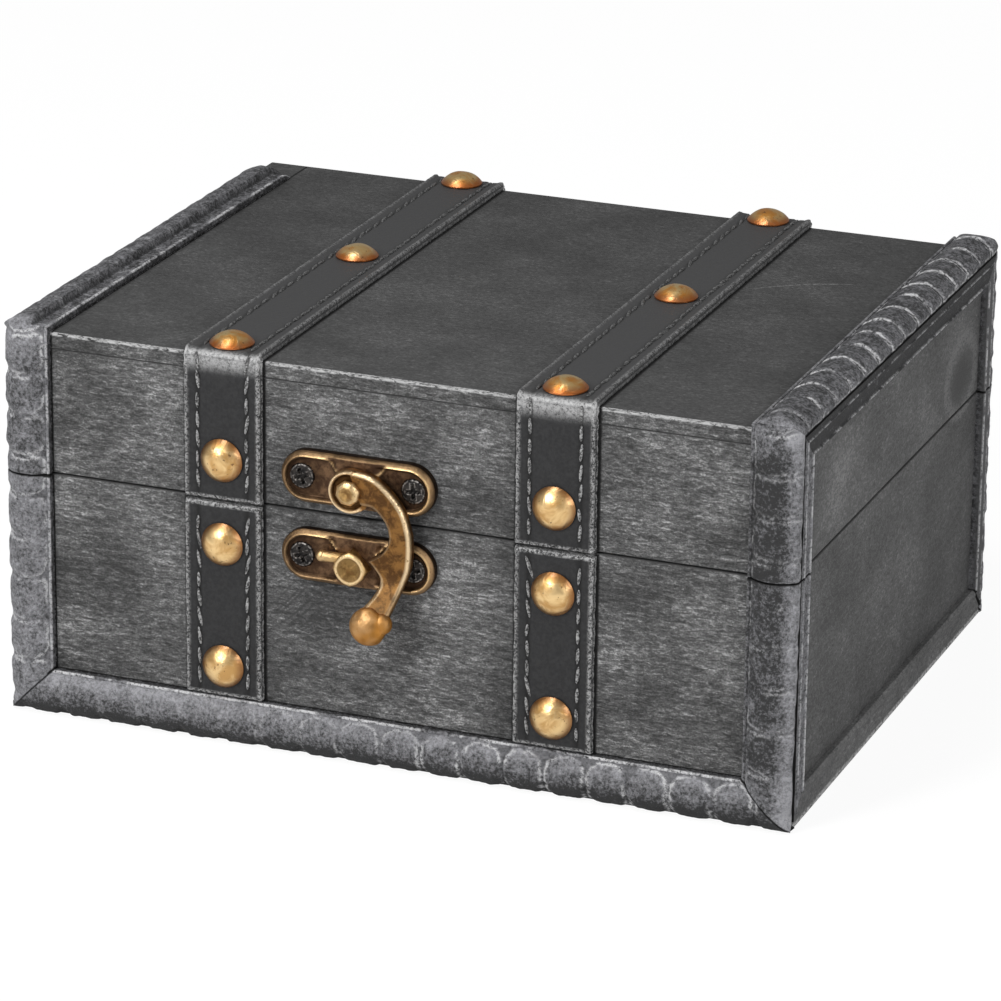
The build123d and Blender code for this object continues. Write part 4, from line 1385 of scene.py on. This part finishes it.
def rivet():
    """The eight-sided head of the rivet that the hook turns on."""
    head = bmesh.new()
    rim, = layers(head, "rim")
    base = CASE_FRONT - box_mm("latch_rivet")[0].y - RIVET_HEAD
    outline = [(1.6, -0.1, 0.0), (2.75, 0.05, 0.2), (2.8, 0.65, 0.7), (2.45, 1.15, 1.0),
               (1.75, 1.60, 0.4), (1.55, 1.68, 0.1), (0.75, 1.62, 0.0), (0.45, 1.45, 0.0),
               (0.0, 1.40, 0.0)]
    places = [(radius, base + height) for radius, height, paint in outline]
    for vert in spun(head, places, 8, RIVET_TURN):
        radius = math.hypot(vert.co.x, vert.co.y)
        vert[rim] = min(outline, key=lambda item: abs(item[0] - radius)
                        + abs(base + item[1] - vert.co.z))[2]
    closed(head)
    cast_piece(head, "latch_rivet", gold_bronze, pivot.x, pivot.z)


def catch_post():
    """The faceted post with its cross pin."""
    low, high = box_mm("catch_post")
    corner_radius = (high.z - low.z) / 2
    place_x, place_z = high.x - corner_radius, (low.z + high.z) / 2
    base, face = CASE_FRONT - box_mm("catch_plate")[0].y, CASE_FRONT - low.y
    post = bmesh.new()
    rim, dark_and_shade = layers(post, "rim", "dark_and_shade")
    outline = [(1.0, base - 0.4), (1.0, base), (1.0, (base + face) / 2), (1.0, face - 0.55),
               (0.94, face - 0.22), (0.84, face - 0.02), (0.76, face), (0.70, face - 0.14),
               (0.45, face - 0.17), (0.2, face - 0.15), (0.0, face - 0.15)]
    paint = {0.94: 0.4, 0.84: 1.0, 0.76: 0.9, 0.70: 0.1}
    for vert in spun(post, outline, 32):
        share = math.hypot(vert.co.x, vert.co.y)
        angle = math.atan2(vert.co.y, vert.co.x)
        square = 1 / (abs(math.cos(angle)) + abs(math.sin(angle)))
        rise = smooth_share(vert.co.z, base, face + 0.4)
        radius = corner_radius * square * (1 - rise) + POST_FACE_RADIUS * rise
        vert[rim] = paint.get(round(share, 2), 0.0)
        scratch = bell(vert.co.x - vert.co.y, 0.12) + bell(vert.co.x + vert.co.y, 0.12)
        vert[dark_and_shade] = 0.0 if share > 0.72 else 0.55 - 0.3 * scratch
        vert.co.x, vert.co.y = radius * vert.co.x, radius * vert.co.y
    closed(post)
    reach = place_x - low.x
    pin = Matrix.Translation((-reach / 2, PIN_RISE, base + PIN_LIFT)) @ Matrix.Rotation(
        math.pi / 2, 4, "Y")
    bmesh.ops.create_cone(
        post, cap_ends=True, segments=20, radius1=PIN_RADIUS, radius2=PIN_RADIUS,
        depth=reach - 2.6, matrix=pin)
    bmesh.ops.create_uvsphere(
        post, u_segments=20, v_segments=12, radius=PIN_BEAD,
        matrix=Matrix.Translation((PIN_BEAD - reach, PIN_RISE, base + PIN_LIFT)))
    # The pin is painted paler all over: rubbed, and its painted highlight.
    for vert in post.verts:
        if vert.co.x < -4.4:
            vert[rim] = 0.55
    cast_piece(post, "catch_post", gold_bronze, place_x, place_z)


for node in ("latch_screws", "catch_screws"):
    latch_screws(node)
rivet()
catch_post()
print("turned parts of the latch: 6")

# %% [markdown]
# The hook is drawn as two outlines, an outer and an inner one, given in shares of the distance
# from the rivet to the knob. The inner one has the beak that catches the post. Rows run from
# outline to outline, and the section across has bevelled edges, which are the parts that were
# rubbed bright; their brightness is also a painted highlight, which changes from edge to edge.
# The lower end bends forward to clear the catch plate, and is painted darker as shade where it
# tilts up. The eye is spun over the arm's upper end, and the golden knob with its ear is pressed
# out of two flattened balls, with a painted highlight on the knob's upper left.

# %% The hook

HOOK_LENGTH = 27.9
HOOK_BACK = 3.0
HOOK_THICKNESS = 2.2
HOOK_BEND = 4.4
HOOK_ROWS = 150
OUTER_LINE = [(0.0, 0.171), (0.205, 0.130), (0.405, -0.055), (0.482, -0.24), (0.498, -0.36),
              (0.497, -0.47), (0.484, -0.57), (0.450, -0.67), (0.410, -0.79), (0.360, -0.940)]
INNER_LINE = [(0.104, -0.100), (0.206, -0.118), (0.298, -0.230), (0.316, -0.350),
              (0.258, -0.465), (0.152, -0.534), (0.205, -0.588), (0.250, -0.665),
              (0.228, -0.765), (0.095, -0.950)]
BEAK = 5
KNOB = Vector((0.215 * HOOK_LENGTH, -HOOK_LENGTH, 8.6))
KNOB_RADII = (4.2, 4.2, 2.95)
EAR = KNOB + Vector((2.9, 0.9, -0.2))
EAR_RADII = (2.3, 2.4, 2.1)


def along_line(points, place):
    """A smooth curve through the points; the place counts points from 0."""
    index = min(int(place), len(points) - 2)
    share = place - index
    before, start, end, after = (
        Vector(points[min(max(index + step, 0), len(points) - 1)]) for step in (-1, 0, 1, 2))
    return 0.5 * (2 * start + (end - before) * share
                  + (2 * before - 5 * start + 4 * end - after) * share ** 2
                  + (3 * start - before - 3 * end + after) * share ** 3)


def inner_point(place):
    """The inner outline, with a corner at the beak."""
    if place <= BEAK:
        return along_line(INNER_LINE[:BEAK + 1], place)
    return along_line(INNER_LINE[BEAK:], place - BEAK)


def hook_section(width):
    """Points across the arm as (share of the width, height, rim with a painted highlight), once
    round.
    """
    edge = [(0.0, 0.0, 0.0), (0.0, 0.8, 0.0), (0.0, 1.35, 0.35), (0.22, 1.85, 1.0),
            (0.55, 2.12, 1.0), (0.85, 2.2, 0.45), (1.15, 2.2, 0.0)]
    half = [(min(0.48, offset / width), height, paint) for offset, height, paint in edge]
    other = [(1 - share, height, 0.75 * paint) for share, height, paint in reversed(half)]
    return half + [(0.5, HOOK_THICKNESS, 0.0)] + other + [(0.5, 0.0, 0.0), half[0]]


def hook_arm(hook, rim, dark_and_shade):
    """The arm, from the rivet down to the knob."""
    columns, last = len(hook_section(1.0)) - 1, len(OUTER_LINE) - 1
    for vert, column, up in grid_points(hook, columns, HOOK_ROWS):
        place = up * last
        outer = along_line(OUTER_LINE, place) * HOOK_LENGTH
        inner = inner_point(place) * HOOK_LENGTH
        share, height, paint = hook_section((inner - outer).length)[column]
        point = outer + (inner - outer) * share
        down = -point.y / HOOK_LENGTH
        bend = HOOK_BEND * smooth_share(down, 0.62, 1.02)
        # Painted highlight: the rims are brighter on the inner edge of the lower arm and fade on
        # its outer edge.
        fade = 0.55 + 0.45 * smooth_share(place, 0.2, 1.0)
        if share > 0.5:
            fade = 0.35 + 0.65 * smooth_share(down, 0.5, 0.75)
        else:
            fade *= 1 - 0.75 * smooth_share(down, 0.58, 0.85)
        vert[rim] = min(1.0, paint * fade + 0.05 * smooth_share(down, 0.55, 0.95))
        # Painted shade: the lower arm, which tilts up towards the lamps, is darker in its middle.
        if 0.1 < share < 0.9:
            vert[dark_and_shade] = 0.4 * smooth_share(down, 0.66, 0.80)
        vert.co = Vector((point.x, point.y, HOOK_BACK + height + bend))


def hook_eye(hook, rim, dark_and_shade):
    """The round eye over the rivet, with a raised rim."""
    outline = [(0.0, 0.0), (4.8, 0.0), (4.8, 1.5), (4.72, 2.0), (4.5, 2.36), (4.2, 2.42),
               (3.95, 2.25), (3.75, 1.75), (3.5, 1.55), (3.2, 1.5), (2.4, 1.5), (0.0, 1.5)]
    for vert in spun(hook, outline, 64):
        radius = math.hypot(vert.co.x, vert.co.y)
        angle = math.degrees(math.atan2(vert.co.y, vert.co.x))
        if radius > 3.8 and vert.co.z > 1.2:
            in_arm = smooth_share(angle, -62, -50) * (1 - smooth_share(angle, 72, 84))
            vert.co.z = min(vert.co.z, 2.42 - 0.9 * in_arm)
            vert[rim] = bell(radius - 4.35, 0.35) * (1 - in_arm)
        if 2.0 < radius < 3.85:
            vert[dark_and_shade] = 0.75
        vert.co.z += HOOK_BACK


def hook_knob(hook, rim, gold):
    """The flattened ball with its small ear on the outer side, with a painted highlight on its
    upper left.
    """
    for middle, radii in ((KNOB, KNOB_RADII), (EAR, EAR_RADII)):
        size = Matrix.Diagonal((*radii, 1))
        ball = bmesh.ops.create_uvsphere(
            hook, u_segments=40, v_segments=24, radius=1.0,
            matrix=Matrix.Translation(middle) @ size)["verts"]
        for vert in ball:
            away = vert.co - middle
            dent = drift(vert.co * 0.45) * 0.35
            vert.co -= away * max(0.0, dent) * 0.35
            # Painted highlight: paler towards the upper left and the front.
            lit = smooth_share(away.y - away.x + 1.2 * away.z, 0.5, 5.0)
            vert[rim] = max(0.0, 0.02 + 0.22 * lit + 0.15 * drift(vert.co * 0.6))
            vert[gold] = 0.80 + 0.5 * drift(vert.co * 0.5)


def latch_hook():
    """The whole hook, one casting."""
    hook = bmesh.new()
    rim, dark_and_shade, gold = layers(hook, "rim", "dark_and_shade", "gold")
    hook_arm(hook, rim, dark_and_shade)
    hook_eye(hook, rim, dark_and_shade)
    closed(hook)
    hook_knob(hook, rim, gold)
    cast_piece(hook, "latch_hook", hook_bronze, pivot.x, pivot.z)


latch_hook()
for node in ("hinge_base_screws", "hinge_lid_screws"):
    refinish(node, screw_steel)
for hand in ("left", "right"):
    for piece in ("hinge_base_leaf", "hinge_lid_leaf", "hinge_pin"):
        refinish(f"{hand}_{piece}", hinge_brass)
print("hook length", HOOK_LENGTH, "mm")

# %% [markdown]
# The chest stands on a plain white floor. Only the camera sees the floor and the world as white.
# What the world itself lights is kept low enough that a colour renders about as it is written,
# and reflections see it darker still, which gives the metal its depth.

# %% Floor, world and lamps

WORLD_LIGHT = 0.38
REFLECTED_WORLD = 0.25
FLOOR_HALF = 3.0
FLOOR_DROP = 0.0002
PAPER_GREY = 0.86
PAPER_ROUGHNESS = 0.9
SEEN_GLOW = 1.06
SEEN_SHARE = 0.86


def white_floor():
    """Dull white paper that glows only for the camera, so its shadows stay soft and pale."""
    material = bpy.data.materials.new("white_floor")
    material.use_nodes = True
    nodes, links = material.node_tree.nodes, material.node_tree.links
    shader = nodes["Principled BSDF"]
    shader.inputs["Base Color"].default_value = (PAPER_GREY, PAPER_GREY, PAPER_GREY, 1)
    shader.inputs["Roughness"].default_value = PAPER_ROUGHNESS
    glow = add_node(material, "Emission", {"Color": (1, 1, 1, 1), "Strength": SEEN_GLOW})
    seen = add_node(material, "LightPath").outputs["Is Camera Ray"]
    mixed = add_node(material, "MixShader", {"Fac": times(material, seen, SEEN_SHARE)})
    links.new(shader.outputs["BSDF"], mixed.inputs[1])
    links.new(glow.outputs["Emission"], mixed.inputs[2])
    links.new(mixed.outputs["Shader"], nodes["Material Output"].inputs["Surface"])
    return material


floor_mesh = bmesh.new()
bmesh.ops.create_grid(floor_mesh, x_segments=1, y_segments=1, size=FLOOR_HALF)
bmesh.ops.translate(floor_mesh, vec=(0, 0, -FLOOR_DROP), verts=floor_mesh.verts)
floor_data = bpy.data.meshes.new("floor")
floor_mesh.to_mesh(floor_data)
floor_mesh.free()
floor_data.materials.append(white_floor())
floor = bpy.data.objects.new("floor", floor_data)
bpy.context.scene.collection.objects.link(floor)

world = bpy.data.worlds.new("studio")
bpy.context.scene.world = world
world.use_nodes = True
background = world.node_tree.nodes["Background"]
background.inputs["Color"].default_value = (1, 1, 1, 1)
rays = add_node(world, "LightPath").outputs
unseen = ranged(world, rays["Is Glossy Ray"], 0.0, 1.0, WORLD_LIGHT, REFLECTED_WORLD)
strength = ranged(world, rays["Is Camera Ray"], 0.0, 1.0, unseen, 1.0)
world.node_tree.links.new(strength, background.inputs["Strength"])

LAMPS = {"key": ((-0.42, -0.95, 0.70), (0.25, 0.40), 7.4),
         "fill": ((1.1, -0.5, 0.55), (0.6, 0.6), 5.0),
         "overhead": ((-0.25, -0.40, 1.15), (0.28, 0.28), 3.6)}
LAMPS_AIM = Vector((0, 0, 0.04))
for name, (place, (width, depth), power) in LAMPS.items():
    lamp_data = bpy.data.lights.new(name, "AREA")
    lamp_data.shape = "RECTANGLE"
    lamp_data.size, lamp_data.size_y = width, depth
    lamp_data.energy = power
    lamp = bpy.data.objects.new(name, lamp_data)
    turn = (LAMPS_AIM - Vector(place)).to_track_quat("-Z", "Y")
    lamp.matrix_world = Matrix.LocRotScale(Vector(place), turn, None)
    bpy.context.scene.collection.objects.link(lamp)

bpy.context.scene.view_settings.view_transform = "Standard"
print("lamps:", len(LAMPS))
